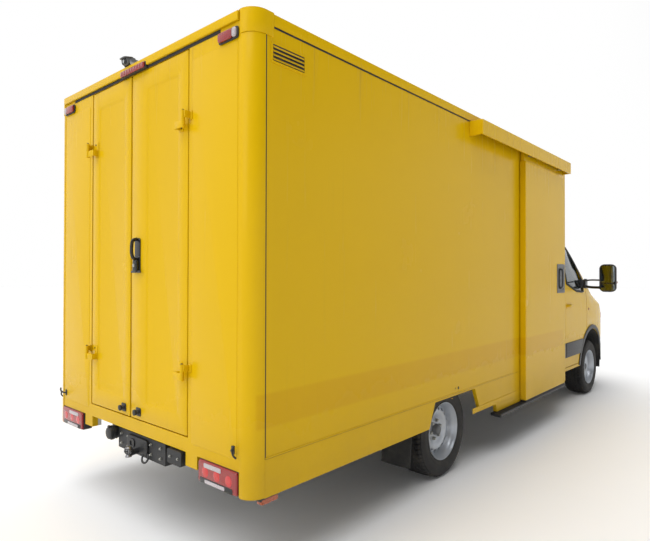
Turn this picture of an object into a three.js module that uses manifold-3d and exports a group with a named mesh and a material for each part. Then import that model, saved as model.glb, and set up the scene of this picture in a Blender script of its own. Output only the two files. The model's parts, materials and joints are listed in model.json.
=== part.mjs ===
// Closed box-body delivery van: a cab on a ladder chassis, with a box body that has two rear
// leaves and one sliding side door. Millimetres, +Z up, +Y towards the front, +X to the
// vehicle's right. While it is laid out, Y = 0 is the rear face of the box and the ground is
// at groundZ; the finished group is shifted so that its origin is the middle of its bounding
// box, at ground level.
import * as THREE from 'three';
import { mergeVertices } from 'three/addons/utils/BufferGeometryUtils.js';
import Module from 'manifold-3d';

const wasm = await Module();
wasm.setup();

// ---------------------------------------------------------------- driving dimensions
const boxHalfWidth = 1035;
const boxLength = 4465;
const roofTop = 2720;
const wall = 40;
const cornerRadius = 80;
const postDepth = 82;
const postWidth = 80;
const railDrop = 63;
const headerDrop = 62;
const floorTop = 650;
const floorThickness = 38;
const skirtSeam = 630;
const skirtBottom = 450;
const skirtLow = 362;
const skirtThickness = 30;
const skirtStepY = boxLength - 1840;
const sillBottom = 574;
const postBottom = 454;
const touch = 0.3;
const gap = 6;

const rearAxleY = 1890;
const frontAxleAhead = 1090;
const frontOverhang = 1004;
const axleHeight = 356;
const tyreRadius = 330;
const tyreWidth = 235;
const rimRadius = 206;
const wheelOuterX = 972;
const archRadius = tyreRadius + 145;

const cabHalfWidth = 997;
const cabRoof = 2240;
const cabWall = 42;
const cabFloorTop = 690;
const cabSillBottom = 430;
const bumperBottom = 285;
const bumperTop = 684;
const windscreenTopY = boxLength + 405;
const windscreenBaseY = boxLength + 1235;
const windscreenBaseZ = 1352;

const rearHingeX = 535;
const rearHingeProud = 34;
const leafThickness = 40;
const leafBottom = 656;
const leafTop = roofTop - 68;
const leafSeamX = -41;
const leafGap = 16;

const slideDoorRear = boxLength - 1335;
const slideDoorFront = boxLength - 265;
const slideDoorBottom = 378;
const slideDoorTop = roofTop - 208;
const slideDoorThickness = 52;
const slideTravel = 940;
const coverRear = slideDoorRear - slideTravel - 40;
const coverProud = 110;
const coverTop = roofTop - 65;
const coverBottom = roofTop - 177;
const coverSheet = 12;
const doorwayRear = boxLength - 1260;
const doorwayFront = boxLength - 325;
const doorwayTop = roofTop - 250;

const railHalf = 370;
const railWidth = 60;
const railTop = 580;
const railHeight = 120;

// places that follow from the driving dimensions
const groundZ = axleHeight - tyreRadius;
const frontAxleY = boxLength + frontAxleAhead;
const noseY = frontAxleY + frontOverhang;
const cabBack = boxLength + touch;
const doorPlaneX = boxHalfWidth + gap;
const wallInner = boxHalfWidth - wall;

// ---------------------------------------------------------------- finishes
const finish = (color, roughness, metalness = 0) =>
  new THREE.MeshStandardMaterial({ color, roughness, metalness });
const yellow = finish(0xe8c22c, 0.35);
const blackPlastic = finish(0x202124, 0.6);
const blackSteel = finish(0x1b1c1e, 0.55, 0.3);
const grey = finish(0x85888a, 0.7);
const steel = finish(0xb9bcc0, 0.35, 0.8);
const rubber = finish(0x17181a, 0.9);
const glass = finish(0x2c3a40, 0.08);
const redLens = finish(0xb3121c, 0.2);
const clearLens = finish(0xdfe5ea, 0.1);
const fabric = finish(0x2b2d31, 0.95);

// ---------------------------------------------------------------- solids
function toSolid(geometry) {
  const bare = geometry.clone();
  bare.deleteAttribute('normal');
  bare.deleteAttribute('uv');
  const merged = mergeVertices(bare, 1e-4);
  return new wasm.Manifold(new wasm.Mesh({
    numProp: 3,
    vertProperties: Float32Array.from(merged.attributes.position.array),
    triVerts: Uint32Array.from(merged.index.array),
  }));
}

function toGeometry(solid) {
  const mesh = solid.getMesh();
  const geometry = new THREE.BufferGeometry();
  geometry.setAttribute('position', new THREE.BufferAttribute(Float32Array.from(mesh.vertProperties), 3));
  geometry.setIndex(Array.from(mesh.triVerts));
  geometry.computeVertexNormals();
  return geometry;
}

function box([x0, x1], [y0, y1], [z0, z1]) {
  const geometry = new THREE.BoxGeometry(x1 - x0, y1 - y0, z1 - z0);
  geometry.translate((x0 + x1) / 2, (y0 + y1) / 2, (z0 + z1) / 2);
  return toSolid(geometry);
}

// An outline is a THREE.Shape or a list of points [a, b] in the plane across the axis:
// (y, z) along X, (x, z) along Y and (x, y) along Z.
function prism(axis, outline, from, to, curveSegments = 8) {
  const shape = Array.isArray(outline)
    ? new THREE.Shape(outline.map(([a, b]) => new THREE.Vector2(a, b)))
    : outline;
  const geometry = new THREE.ExtrudeGeometry(shape, { depth: to - from, bevelEnabled: false, curveSegments });
  const turn = new THREE.Matrix4();
  if (axis === 'x') turn.set(0, 0, 1, from, 1, 0, 0, 0, 0, 1, 0, 0, 0, 0, 0, 1);
  if (axis === 'y') turn.set(1, 0, 0, 0, 0, 0, -1, to, 0, 1, 0, 0, 0, 0, 0, 1);
  if (axis === 'z') turn.set(1, 0, 0, 0, 0, 1, 0, 0, 0, 0, 1, from, 0, 0, 0, 1);
  geometry.applyMatrix4(turn);
  return toSolid(geometry);
}

function cylinder(axis, radius, [from, to], a, b, segments = 20) {
  const shape = new THREE.Shape().absarc(a, b, radius, 0, Math.PI * 2);
  return prism(axis, shape, from, to, segments);
}

function rod(start, end, radius, segments = 12) {
  const a = new THREE.Vector3(...start);
  const b = new THREE.Vector3(...end);
  const geometry = new THREE.CylinderGeometry(radius, radius, a.distanceTo(b), segments);
  const direction = b.clone().sub(a).normalize();
  geometry.applyQuaternion(new THREE.Quaternion().setFromUnitVectors(new THREE.Vector3(0, 1, 0), direction));
  geometry.translate(...a.add(b).multiplyScalar(0.5).toArray());
  return toSolid(geometry);
}

function pipe(points, radius, steps, segments = 10) {
  const path = new THREE.CatmullRomCurve3(points.map((p) => new THREE.Vector3(...p)), false, 'centripetal');
  const section = new THREE.Shape().absarc(0, 0, radius, 0, Math.PI * 2);
  const geometry = new THREE.ExtrudeGeometry(section, {
    steps, extrudePath: path, bevelEnabled: false, curveSegments: segments,
  });
  return toSolid(geometry);
}

const joined = (solids) => solids.reduce((sum, solid) => sum.add(solid));
const mirrored = (solid) => solid.mirror([1, 0, 0]);
const bothSides = (solid) => solid.add(mirrored(solid));
const onSide = (solid, side) => (side > 0 ? solid : mirrored(solid));

function roundedRect(x0, x1, y0, y1, radius) {
  const shape = new THREE.Shape();
  shape.moveTo(x0 + radius, y0);
  shape.lineTo(x1 - radius, y0);
  shape.absarc(x1 - radius, y0 + radius, radius, -Math.PI / 2, 0);
  shape.lineTo(x1, y1 - radius);
  shape.absarc(x1 - radius, y1 - radius, radius, 0, Math.PI / 2);
  shape.lineTo(x0 + radius, y1);
  shape.absarc(x0 + radius, y1 - radius, radius, Math.PI / 2, Math.PI);
  shape.lineTo(x0, y0 + radius);
  shape.absarc(x0 + radius, y0 + radius, radius, Math.PI, Math.PI * 1.5);
  return shape;
}

// ---------------------------------------------------------------- the assembly
const truck = new THREE.Group();

function place(name, solid, material) {
  const mesh = new THREE.Mesh(toGeometry(solid), material);
  mesh.name = name;
  truck.add(mesh);
}

// ---------------------------------------------------------------- chassis
function makeChassis() {
  const railBottom = railTop - railHeight;
  const outerX = railHalf + railWidth / 2;
  const innerX = railHalf - railWidth / 2;
  const rails = bothSides(box([innerX, outerX], [150, noseY - 190], [railBottom, railTop]));
  const crossY = [170, 900, rearAxleY + 810, boxLength - 965, boxLength - 165, boxLength + 585, noseY - 240];
  const cross = crossY.map((y) => box([-innerX - 1, innerX + 1], [y, y + 50], [railTop - 70, railTop - 10]));
  const hangerY = [rearAxleY - 600, rearAxleY + 600];
  const hangers = hangerY.map((y) => bothSides(box([outerX - 1, 665], [y - 25, y + 25], [500, 560])));
  const subframe = bothSides(box([250, 470], [frontAxleY - 60, frontAxleY + 60], [330, railBottom + 1]));
  const beam = box([-460, 460], [frontAxleY - 70, frontAxleY + 70], [290, 350]);
  const arms = bothSides(box([455, 688], [frontAxleY - 40, frontAxleY + 40], [262, 296]));
  const towers = bothSides(cylinder('z', 26, [290, 812], 645, frontAxleY, 12));
  place('chassis_frame', joined([rails, ...cross, ...hangers, subframe, beam, arms, towers]), blackSteel);

  place('engine_block', box([-250, 250], [noseY - 789, noseY - 259], [500, 1060]), grey);

  const axle = cylinder('x', 50, [-840, 840], rearAxleY, axleHeight, 12);
  const housing = toSolid(new THREE.SphereGeometry(140, 12, 8).translate(0, rearAxleY, axleHeight));
  const brakes = bothSides(cylinder('x', 150, [790, 850], rearAxleY, axleHeight, 20));
  const spring = new THREE.Shape();
  spring.moveTo(rearAxleY - 625, 499);
  spring.quadraticCurveTo(rearAxleY, 350, rearAxleY + 625, 499);
  spring.lineTo(rearAxleY + 625, 460);
  spring.quadraticCurveTo(rearAxleY, 290, rearAxleY - 625, 460);
  const springs = bothSides(prism('x', spring, 600, 660, 6));
  const propshaft = rod([0, rearAxleY + 60, axleHeight], [0, noseY - 869, 440], 32);
  place('rear_axle', joined([axle, housing, brakes, springs, propshaft]), blackSteel);

  const tank = prism('y', roundedRect(-900, -440, 330, 570, 60), boxLength - 1165, boxLength - 315, 4);
  place('fuel_tank', tank, blackPlastic);
  const pipeRun = [
    [300, frontAxleY - 115, 430], [360, frontAxleY - 355, 420], [470, boxLength + 335, 440],
    [490, boxLength - 465, 450], [490, rearAxleY + 810, 450], [490, rearAxleY + 310, 500],
    [490, rearAxleY - 190, 500], [490, rearAxleY - 790, 440], [560, rearAxleY - 1090, 400],
    [760, rearAxleY - 1270, 380],
  ];
  const muffler = prism('y', roundedRect(410, 580, 370, 530, 70), rearAxleY + 1010, rearAxleY + 1610, 4);
  place('exhaust', pipe(pipeRun, 27, 26, 4).add(muffler), steel);
}

// ---------------------------------------------------------------- box body
const archBoxTop = 800;
const archBoxHalf = tyreRadius + 90;
const archBoxInner = 700;
const sheet = 20;
const stepWellX = 720;
const stepTread = 385;

function makeFloor() {
  const side = wallInner - touch;
  const rows = [floorTop - floorThickness, floorTop];
  const plate = prism('z', boxPlan(wall + touch), ...rows, 4)
    .subtract(box([-side - 1, side + 1], [0, postDepth + touch], [0, floorTop + 1]));
  const bearerY = [
    200, 650, 1100, rearAxleY - 490, rearAxleY + 470, rearAxleY + 710, rearAxleY + 1210,
    boxLength - 715, boxLength - 165,
  ];
  const bearers = bearerY.map((y) =>
    box([-side + 30, side - 30], [y, y + 50], [railTop + touch, floorTop - floorThickness + 1]));
  const archOuter = box([archBoxInner, side], [rearAxleY - archBoxHalf, rearAxleY + archBoxHalf],
    [floorTop - floorThickness, archBoxTop]);
  const archInner = box([archBoxInner + sheet, side + 10],
    [rearAxleY - archBoxHalf + sheet, rearAxleY + archBoxHalf - sheet], [500, archBoxTop - sheet]);
  const wellOuter = box([stepWellX - sheet, side], [doorwayRear - sheet, doorwayFront + sheet],
    [stepTread - sheet, floorTop]);
  const wellInner = box([stepWellX, side + 10], [doorwayRear, doorwayFront], [stepTread, floorTop + 10]);
  const solid = joined([plate, ...bearers]).add(bothSides(archOuter)).subtract(bothSides(archInner))
    .add(wellOuter).subtract(wellInner);
  place('load_floor', solid, grey);
}

const sideEnd = boxLength - cornerRadius;

function makeSideWalls() {
  const rows = [skirtSeam, roofTop - railDrop - touch];
  const panel = box([wallInner, boxHalfWidth], [postDepth + touch, sideEnd - touch], rows);
  const footSpan = [doorwayFront + sheet + touch, sideEnd - touch];
  const foot = box([wallInner, boxHalfWidth], footSpan, [skirtLow, skirtSeam + 1]);
  const doorway = box([wallInner - 1, boxHalfWidth + 1], [doorwayRear, doorwayFront], [0, doorwayTop]);
  place('right_side_wall', panel.subtract(doorway).add(foot), yellow);
  place('left_side_wall', mirrored(panel), yellow);
}

// A skirt hangs under the wall; its wheel cut is a trapezium that narrows upwards.
function makeSkirts() {
  const outline = (end) => [
    [postDepth + touch, skirtSeam - touch], [postDepth + touch, skirtBottom], [rearAxleY - 322, skirtBottom],
    [rearAxleY - 245, skirtSeam - 14], [rearAxleY + 355, skirtSeam - 14], [rearAxleY + 440, skirtBottom],
    [skirtStepY, skirtBottom], [skirtStepY + 22, skirtLow], [end, skirtLow], [end, skirtSeam - touch],
  ];
  const inner = boxHalfWidth - skirtThickness;
  const skirt = (end) => prism('x', outline(end), inner, boxHalfWidth);
  place('right_skirt', skirt(doorwayRear), yellow);
  place('left_skirt', mirrored(skirt(sideEnd - touch)), yellow);
}

const boxPlan = (inset = 0) => roundedRect(
  inset - boxHalfWidth, boxHalfWidth - inset, inset, boxLength - inset, cornerRadius - inset);

function makeRoof() {
  const cap = prism('z', boxPlan(), roofTop - railDrop, roofTop, 6);
  const hollow = prism('z', boxPlan(wall), roofTop - railDrop - 1, roofTop - wall, 6);
  const behind = box([-boxHalfWidth - 1, boxHalfWidth + 1], [-1, postDepth + touch], [0, roofTop + 1]);
  place('box_roof', cap.subtract(hollow).subtract(behind), yellow);
}

const passageHalf = 430;
const passageTop = 2050;

function makeFrontWall() {
  const top = roofTop - railDrop - touch;
  const ring = prism('z', boxPlan(), skirtLow, top, 6).subtract(prism('z', boxPlan(wall), skirtLow - 1, top + 1, 6));
  const ahead = box([-boxHalfWidth - 1, boxHalfWidth + 1], [sideEnd, boxLength + 1], [0, roofTop]);
  const passage = box([-passageHalf, passageHalf], [boxLength - wall - 1, boxLength + 1], [0, passageTop]);
  const below = box([-940, 940], [sideEnd - 1, boxLength + 1], [0, floorTop - floorThickness]);
  place('box_front_wall', ring.intersect(ahead).subtract(passage).subtract(below), yellow);
}

// One portal: corner posts, fixed panels beside the leaves, header, sill and its two legs.
function makeRearFrame() {
  const slice = (zRange) => prism('z', boxPlan(), zRange[0], zRange[1], 6)
    .intersect(box([-boxHalfWidth - 1, boxHalfWidth + 1], [-1, postDepth], [0, roofTop + 1]));
  const innerPost = boxHalfWidth - postWidth;
  const posts = slice([postBottom, roofTop])
    .intersect(bothSides(box([innerPost, boxHalfWidth + 1], [-1, postDepth + 1], [0, roofTop + 1])));
  const panels = bothSides(box([rearHingeX + gap, innerPost + 1], [0, leafThickness], [sillBottom, roofTop]));
  const header = box([-innerPost - 1, innerPost + 1], [0, postDepth], [roofTop - headerDrop, roofTop]);
  const sill = box([-rearHingeX - 10, rearHingeX + 10], [0, postDepth], [sillBottom, leafBottom - gap]);
  const legs = bothSides(box([522, 622], [0, 60], [505, sillBottom + 1]));
  place('rear_frame', joined([posts, panels, header, sill, legs]), yellow);
}

function makeDoorRail() {
  const outer = boxHalfWidth + coverProud;
  const front = slideDoorFront + 35;
  const shell = box([boxHalfWidth + touch, outer], [coverRear, front], [coverBottom, coverTop]);
  const hollow = box([boxHalfWidth - 1, outer - coverSheet], [coverRear + coverSheet, front - coverSheet],
    [coverBottom - 1, coverTop - coverSheet]);
  place('door_rail_cover', shell.subtract(hollow), yellow);
  const board = prism('y', roundedRect(wallInner + 5, doorPlaneX + slideDoorThickness, skirtLow - 26, skirtLow - 2, 8),
    skirtStepY - 25, slideDoorFront + 10, 3);
  place('running_board', board, blackPlastic);
}

function makeSlidingDoor() {
  const span = [slideDoorRear, slideDoorFront];
  const leaf = box([doorPlaneX, doorPlaneX + slideDoorThickness], span, [slideDoorBottom, slideDoorTop]);
  const hanger = box([doorPlaneX, doorPlaneX + 34], [slideDoorRear + 10, slideDoorFront - 10],
    [slideDoorTop - 1, slideDoorTop + 88]);
  place('sliding_door', leaf.add(hanger), yellow);
}

function makeRearLeaves() {
  const rows = [leafBottom, leafTop];
  const edge = rearHingeX - 4;
  const left = box([-edge, leafSeamX - leafGap / 2], [0, leafThickness], rows);
  const right = box([leafSeamX + leafGap / 2, edge], [0, leafThickness], rows);
  const hingeRows = [[leafBottom + 289, leafBottom + 374], [leafTop - 412, leafTop - 322]];
  const strap = rearHingeX - 80;
  const knuckles = (side) => joined(hingeRows.map(([z0, z1]) => joined([
    cylinder('z', 11, [z0, z1], side * rearHingeX, -rearHingeProud, 10),
    onSide(box([strap, rearHingeX], [-rearHingeProud - 4, -rearHingeProud + 4], [z0, z1]), side),
    onSide(box([strap, strap + 35], [-rearHingeProud - 4, 1], [z0, z1]), side),
  ])));
  place('rear_door_left', left.add(knuckles(-1)), yellow);
  place('rear_door_right', right.add(knuckles(1)), yellow);
  const plate = box([10, 66], [-14, -touch], [1490, 1610]);
  const loop = box([22, 52], [-42, -10], [1590, 1700]).subtract(box([15, 60], [-28, -10], [1610, 1680]));
  const foot = box([26, 48], [-14, -touch], [1600, 1700]);
  place('rear_door_handle', plate.add(loop).add(foot), blackPlastic);
}

// ---------------------------------------------------------------- lamps and rear fittings
function makeRearFittings() {
  const lamp = prism('y', roundedRect(645, 950, postBottom + 4, sillBottom - touch, 10), -14, 56, 3);
  place('tail_light_right', lamp, redLens);
  place('tail_light_left', mirrored(lamp), redLens);
  const highLamp = prism('y', roundedRect(-140, 140, leafTop + 4, leafTop + 44, 12), -30, -touch, 3);
  place('brake_light', highLamp, redLens);
  const foot = box([-120, -40], [4, 64], [roofTop + touch, roofTop + 12]);
  const eye = box([-115, -45], [-46, 30], [roofTop + 11, roofTop + 64]);
  place('reversing_camera', foot.add(eye), grey);
  const beam = box([-420, 500], [84, 150], [492, 566]);
  const brackets = bothSides(box([290, 336], [86, 146], [446, 562]));
  const housing = box([-215, 300], [20, 94], [440, 558]);
  const neck = rod([30, 60, 478], [30, -47, 466], 17, 10);
  const ball = toSolid(new THREE.SphereGeometry(25, 12, 7).rotateY(0.2).translate(30.6, -48.3, 486));
  const socket = cylinder('y', 38, [-14, 92], -262, 520, 14);
  const endBlock = prism('y', roundedRect(375, 505, 492, 568, 10), -16, 100, 3);
  place('tow_bar', joined([beam, brackets, housing, neck, ball, socket, endBlock]), blackSteel);
}

// ---------------------------------------------------------------- cab form
// A smooth curve through stations [y, value], flat at its ends.
function through(stations) {
  const slope = stations.map((s, i) => {
    if (i === 0 || i === stations.length - 1) return 0;
    const before = (s[1] - stations[i - 1][1]) / (s[0] - stations[i - 1][0]);
    const after = (stations[i + 1][1] - s[1]) / (stations[i + 1][0] - s[0]);
    return before * after <= 0 ? 0 : (2 * before * after) / (before + after);
  });
  return (y) => {
    let i = stations.findIndex((s) => s[0] > y) - 1;
    if (i === -2) i = stations.length - 2;
    if (i < 0) i = 0;
    const [y0, v0] = stations[i];
    const [y1, v1] = stations[i + 1];
    const t = THREE.MathUtils.clamp((y - y0) / (y1 - y0), 0, 1);
    const width = y1 - y0;
    return (2 * t ** 3 - 3 * t ** 2 + 1) * v0 + (t ** 3 - 2 * t ** 2 + t) * width * slope[i]
      + (3 * t ** 2 - 2 * t ** 3) * v1 + (t ** 3 - t ** 2) * width * slope[i + 1];
  };
}

const formRear = boxLength - 65;
const cabTop = through([
  [formRear, cabRoof - 8], [formRear + 250, cabRoof], [windscreenTopY - 40, cabRoof - 22],
  [windscreenTopY + 20, cabRoof - 75], [windscreenBaseY - 30, windscreenBaseZ + 28],
  [windscreenBaseY + 40, windscreenBaseZ - 18], [noseY - 560, 1275], [noseY - 360, 1212],
  [noseY - 230, 1140], [noseY - 130, 1040], [noseY - 72, 900], [noseY - 30, 715], [noseY - 8, 560], [noseY, 500],
]);
const cabHalf = through([
  [formRear, cabHalfWidth - 1], [frontAxleY, cabHalfWidth], [frontAxleY + 360, cabHalfWidth - 14],
  [frontAxleY + 570, cabHalfWidth - 45], [noseY - 250, 885], [noseY - 120, 770], [noseY - 45, 600],
  [noseY - 12, 400], [noseY, 240],
]);
const cabUnder = through([
  [formRear, bumperBottom], [noseY - 200, bumperBottom], [noseY - 60, bumperBottom + 25],
  [noseY - 15, bumperBottom + 70], [noseY, bumperBottom + 120],
]);
const beltZ = 1100;
const leanIn = (z) => (z > beltZ ? 2.43e-4 * (z - beltZ) ** 1.934 : 0);

// One half of a section across the cab: a rounded box whose sides lean in above the belt.
function halfSection(y, inset) {
  const half = cabHalf(y) - inset;
  const top = cabTop(y) - inset;
  const under = cabUnder(y) + inset;
  const middle = Math.min(750, (top + under) / 2);
  const power = 7;
  const steps = 10;
  const points = [[half * 0.985, under]];
  for (let i = 0; i <= steps; i += 1) {
    const angle = (i / steps) * Math.PI / 2;
    const c = Math.cos(angle);
    const s = Math.sin(angle);
    const reach = (c ** power + s ** power) ** (-1 / power);
    const z = middle + (top - middle) * s * reach;
    const x = i === steps ? 0 : half * c * reach - leanIn(z);
    points.push([x, z]);
  }
  return points;
}

const cabStations = [
  formRear, formRear + 250, windscreenTopY - 40, windscreenTopY - 10, windscreenTopY + 20,
  ...[1, 2, 3, 4].map((i) => windscreenTopY + 20 + i * (windscreenBaseY - windscreenTopY - 50) / 4),
  windscreenBaseY + 40, windscreenBaseY + 150, noseY - 560, noseY - 450, noseY - 360, noseY - 280, noseY - 210,
  noseY - 155, noseY - 110, noseY - 72, noseY - 42, noseY - 20, noseY - 6, noseY,
];

function cabForm(inset = 0) {
  const rings = cabStations.map((y) => {
    const half = halfSection(y, inset);
    const left = half.slice(0, -1).reverse().map(([x, z]) => [-x, z]);
    return [...half, ...left].map(([x, z]) => [x, y, z]);
  });
  const count = rings[0].length;
  const positions = rings.flat(2);
  const indices = [];
  for (let r = 0; r < rings.length - 1; r += 1) {
    for (let i = 0; i < count; i += 1) {
      const a = r * count + i;
      const b = r * count + (i + 1) % count;
      indices.push(a, a + count, b, b, a + count, b + count);
    }
  }
  const last = (rings.length - 1) * count;
  for (let i = 1; i < count - 1; i += 1) {
    indices.push(0, i, i + 1);
    indices.push(last, last + i + 1, last + i);
  }
  const geometry = new THREE.BufferGeometry();
  geometry.setAttribute('position', new THREE.BufferAttribute(Float32Array.from(positions), 3));
  geometry.setIndex(indices);
  return toSolid(geometry);
}

const everyX = [-1300, 1300];

// Outline of the cab door seen from the side, grown by a margin.
const doorRearY = boxLength + 80;
const doorFrontY = frontAxleY - 220;
const doorBottomZ = 470;
const doorRoofZ = 2040;
function doorOutline(margin) {
  const ring = archRadius + 56 - margin;
  const front = doorFrontY + margin;
  const bottom = doorBottomZ - margin;
  const start = Math.atan2(Math.sqrt(ring ** 2 - (frontAxleY - front) ** 2), front - frontAxleY);
  const end = Math.PI - Math.asin((bottom - axleHeight) / ring);
  const shape = new THREE.Shape();
  shape.moveTo(doorRearY - margin, bottom);
  shape.lineTo(frontAxleY + ring * Math.cos(end), bottom);
  shape.absarc(frontAxleY, axleHeight, ring, end, start, true);
  shape.lineTo(front, 1430 + margin * 0.5);
  shape.lineTo(boxLength + 335 + margin * 0.6, doorRoofZ + margin);
  shape.lineTo(doorRearY - margin, doorRoofZ + margin);
  return shape;
}

function windowOutline(margin) {
  const shape = new THREE.Shape();
  shape.moveTo(doorRearY + 78 - margin, 1398 - margin);
  shape.lineTo(boxLength + 495, 1310 - margin);
  shape.lineTo(doorFrontY - 95 + margin, 1290 - margin);
  shape.lineTo(doorFrontY - 95 + margin, 1420 + margin * 0.5);
  shape.lineTo(boxLength + 300 + margin * 0.5, 1962 + margin);
  shape.lineTo(doorRearY + 78 - margin, 1962 + margin);
  return shape;
}

function screenOutline(margin) {
  return [
    [-820 - margin, 1402 - margin], [820 + margin, 1402 - margin], [730 + margin, 2100 + margin],
    [690 + margin, 2128 + margin], [-690 - margin, 2128 + margin], [-730 - margin, 2100 + margin],
  ];
}

const firewallY = boxLength + 1145;
const bonnetRearY = windscreenBaseY + 22;
const bonnetFrontY = noseY - 150;
function bonnetOutline(margin) {
  return [
    [-700 - margin, bonnetRearY - margin], [700 + margin, bonnetRearY - margin],
    [650 + margin, noseY - 380], [560 + margin, bonnetFrontY + margin], [-560 - margin, bonnetFrontY + margin],
    [-650 - margin, noseY - 380],
  ];
}

function makeCab() {
  const outer = cabForm();
  const inner = cabForm(cabWall);
  const ahead = [cabBack, noseY + 50];

  const bumperY = frontAxleY + archRadius + 54;
  const bodyZone = box(everyX, [cabBack, bumperY - gap], [cabSillBottom, 3000])
    .add(box(everyX, ahead, [bumperTop + gap, 3000]));
  const bumperZone = box(everyX, [bumperY, noseY + 50], [0, bumperTop]);

  const liner = bothSides(cylinder('x', archRadius + 20, [490, 1400], frontAxleY, axleHeight, 20));
  const wells = bothSides(cylinder('x', archRadius, [510, 1400], frontAxleY, axleHeight, 20));
  const cabin = inner.intersect(box(everyX, [0, firewallY], [cabFloorTop, 3000])).subtract(liner);
  const underFloor = box([-940, 940], [0, frontAxleY - archRadius - 20], [0, cabFloorTop - 40])
    .add(box([-470, 470], [0, firewallY + 50], [0, cabFloorTop - 40]));
  const bayLow = box([-460, 460], [firewallY + 45, noseY - 90], [0, 900]);
  const bayBox = box([-900, 900], [bonnetRearY + 16, noseY - 60], [bumperTop + 60, 3000]);
  const bayHigh = inner.intersect(bayBox).subtract(liner);
  const noseHollow = inner.intersect(box(everyX, [frontAxleY + archRadius - 60, noseY - 60], [0, 3000]));

  const doorZone = (side, margin) => onSide(prism('x', doorOutline(margin), 600, 1300, 10), side);
  const windowZone = (side, margin) => onSide(prism('x', windowOutline(margin), 600, 1300), side);
  const screenZone = (margin) => prism('y', screenOutline(margin), windscreenTopY - 60, windscreenBaseY + 60);
  const bonnetZone = (margin) => prism('z', bonnetOutline(margin), bumperTop + 300, 3000);

  const grilleZone = (margin) => prism('y', [
    [-440 - margin, 985 + margin], [-400 - margin, 775 - margin],
    [400 + margin, 775 - margin], [440 + margin, 985 + margin],
  ], noseY - 330, noseY + 10);
  const lampZone = (side, margin) => onSide(prism('y', [
    [520 - margin, 800 - margin], [760, 790 - margin], [930 + margin, 900 - margin], [935 + margin, 1030 + margin],
    [760, 1010 + margin], [520 - margin, 960 + margin],
  ], noseY - 420, noseY + 10), side);

  const doors = joined([1, -1].map((side) => doorZone(side, gap)));
  const lamps = joined([1, -1].map((side) => lampZone(side, 3)));
  const fenderLine = joined([1, -1].map((side) =>
    onSide(box([700, 1300], [doorFrontY, doorFrontY + gap + 4], [600, 1438]), side)));
  const body = outer.intersect(bodyZone)
    .subtract(joined([cabin, underFloor, bayLow, bayHigh, noseHollow, wells]))
    .subtract(doors).subtract(fenderLine).subtract(screenZone(0)).subtract(bonnetZone(gap))
    .subtract(grilleZone(3)).subtract(lamps);
  place('cab_body', largest(body), yellow);

  const layer = (depth) => outer.subtract(outer.translate([0, -depth, 0]));
  place('windscreen', largest(layer(14).intersect(screenZone(-touch))), glass);
  place('bonnet', largest(outer.subtract(inner).intersect(bonnetZone(0))), yellow);
  place('grille', largest(layer(46).intersect(grilleZone(0))), blackPlastic);
  const bumperHollow = inner.intersect(box(everyX, [0, noseY - 50], [0, 3000]));
  place('front_bumper', largest(outer.subtract(bumperHollow).intersect(bumperZone)), blackPlastic);

  for (const [side, word] of [[1, 'right'], [-1, 'left']]) {
    const leaf = outer.subtract(inner).intersect(doorZone(side, 0)).subtract(windowZone(side, 0));
    place(`cab_door_${word}`, largest(leaf), yellow);
    const pane = outer.translate([side * -12, 0, 0]).subtract(outer.translate([side * -19, 0, 0]))
      .intersect(windowZone(side, -touch));
    place(`cab_glass_${word}`, largest(pane), glass);
    place(`headlight_${word}`, largest(layer(60).intersect(lampZone(side, 0))), clearLens);
    makeMirror(side, word);
  }
}

function largest(solid) {
  const parts = solid.decompose();
  return parts.reduce((best, part) => (part.volume() > best.volume() ? part : best), parts[0]);
}

const mirrorY = doorFrontY - 110;
const mirrorOuter = 1350;
function makeMirror(side, word) {
  const root = 1001;
  const foot = box([root, root + 26], [mirrorY - 45, mirrorY + 45], [1335, 1450]);
  const lower = rod([root + 10, mirrorY, 1360], [1200, mirrorY + 4, 1348], 16);
  const upper = rod([root + 10, mirrorY, 1428], [1200, mirrorY + 4, 1432], 9);
  const head = prism('y', roundedRect(1172, mirrorOuter, 1298, 1620, 55), mirrorY - 40, mirrorY + 60, 4);
  place(`mirror_${word}`, onSide(joined([foot, lower, upper, head]), side), blackPlastic);
}

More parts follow.
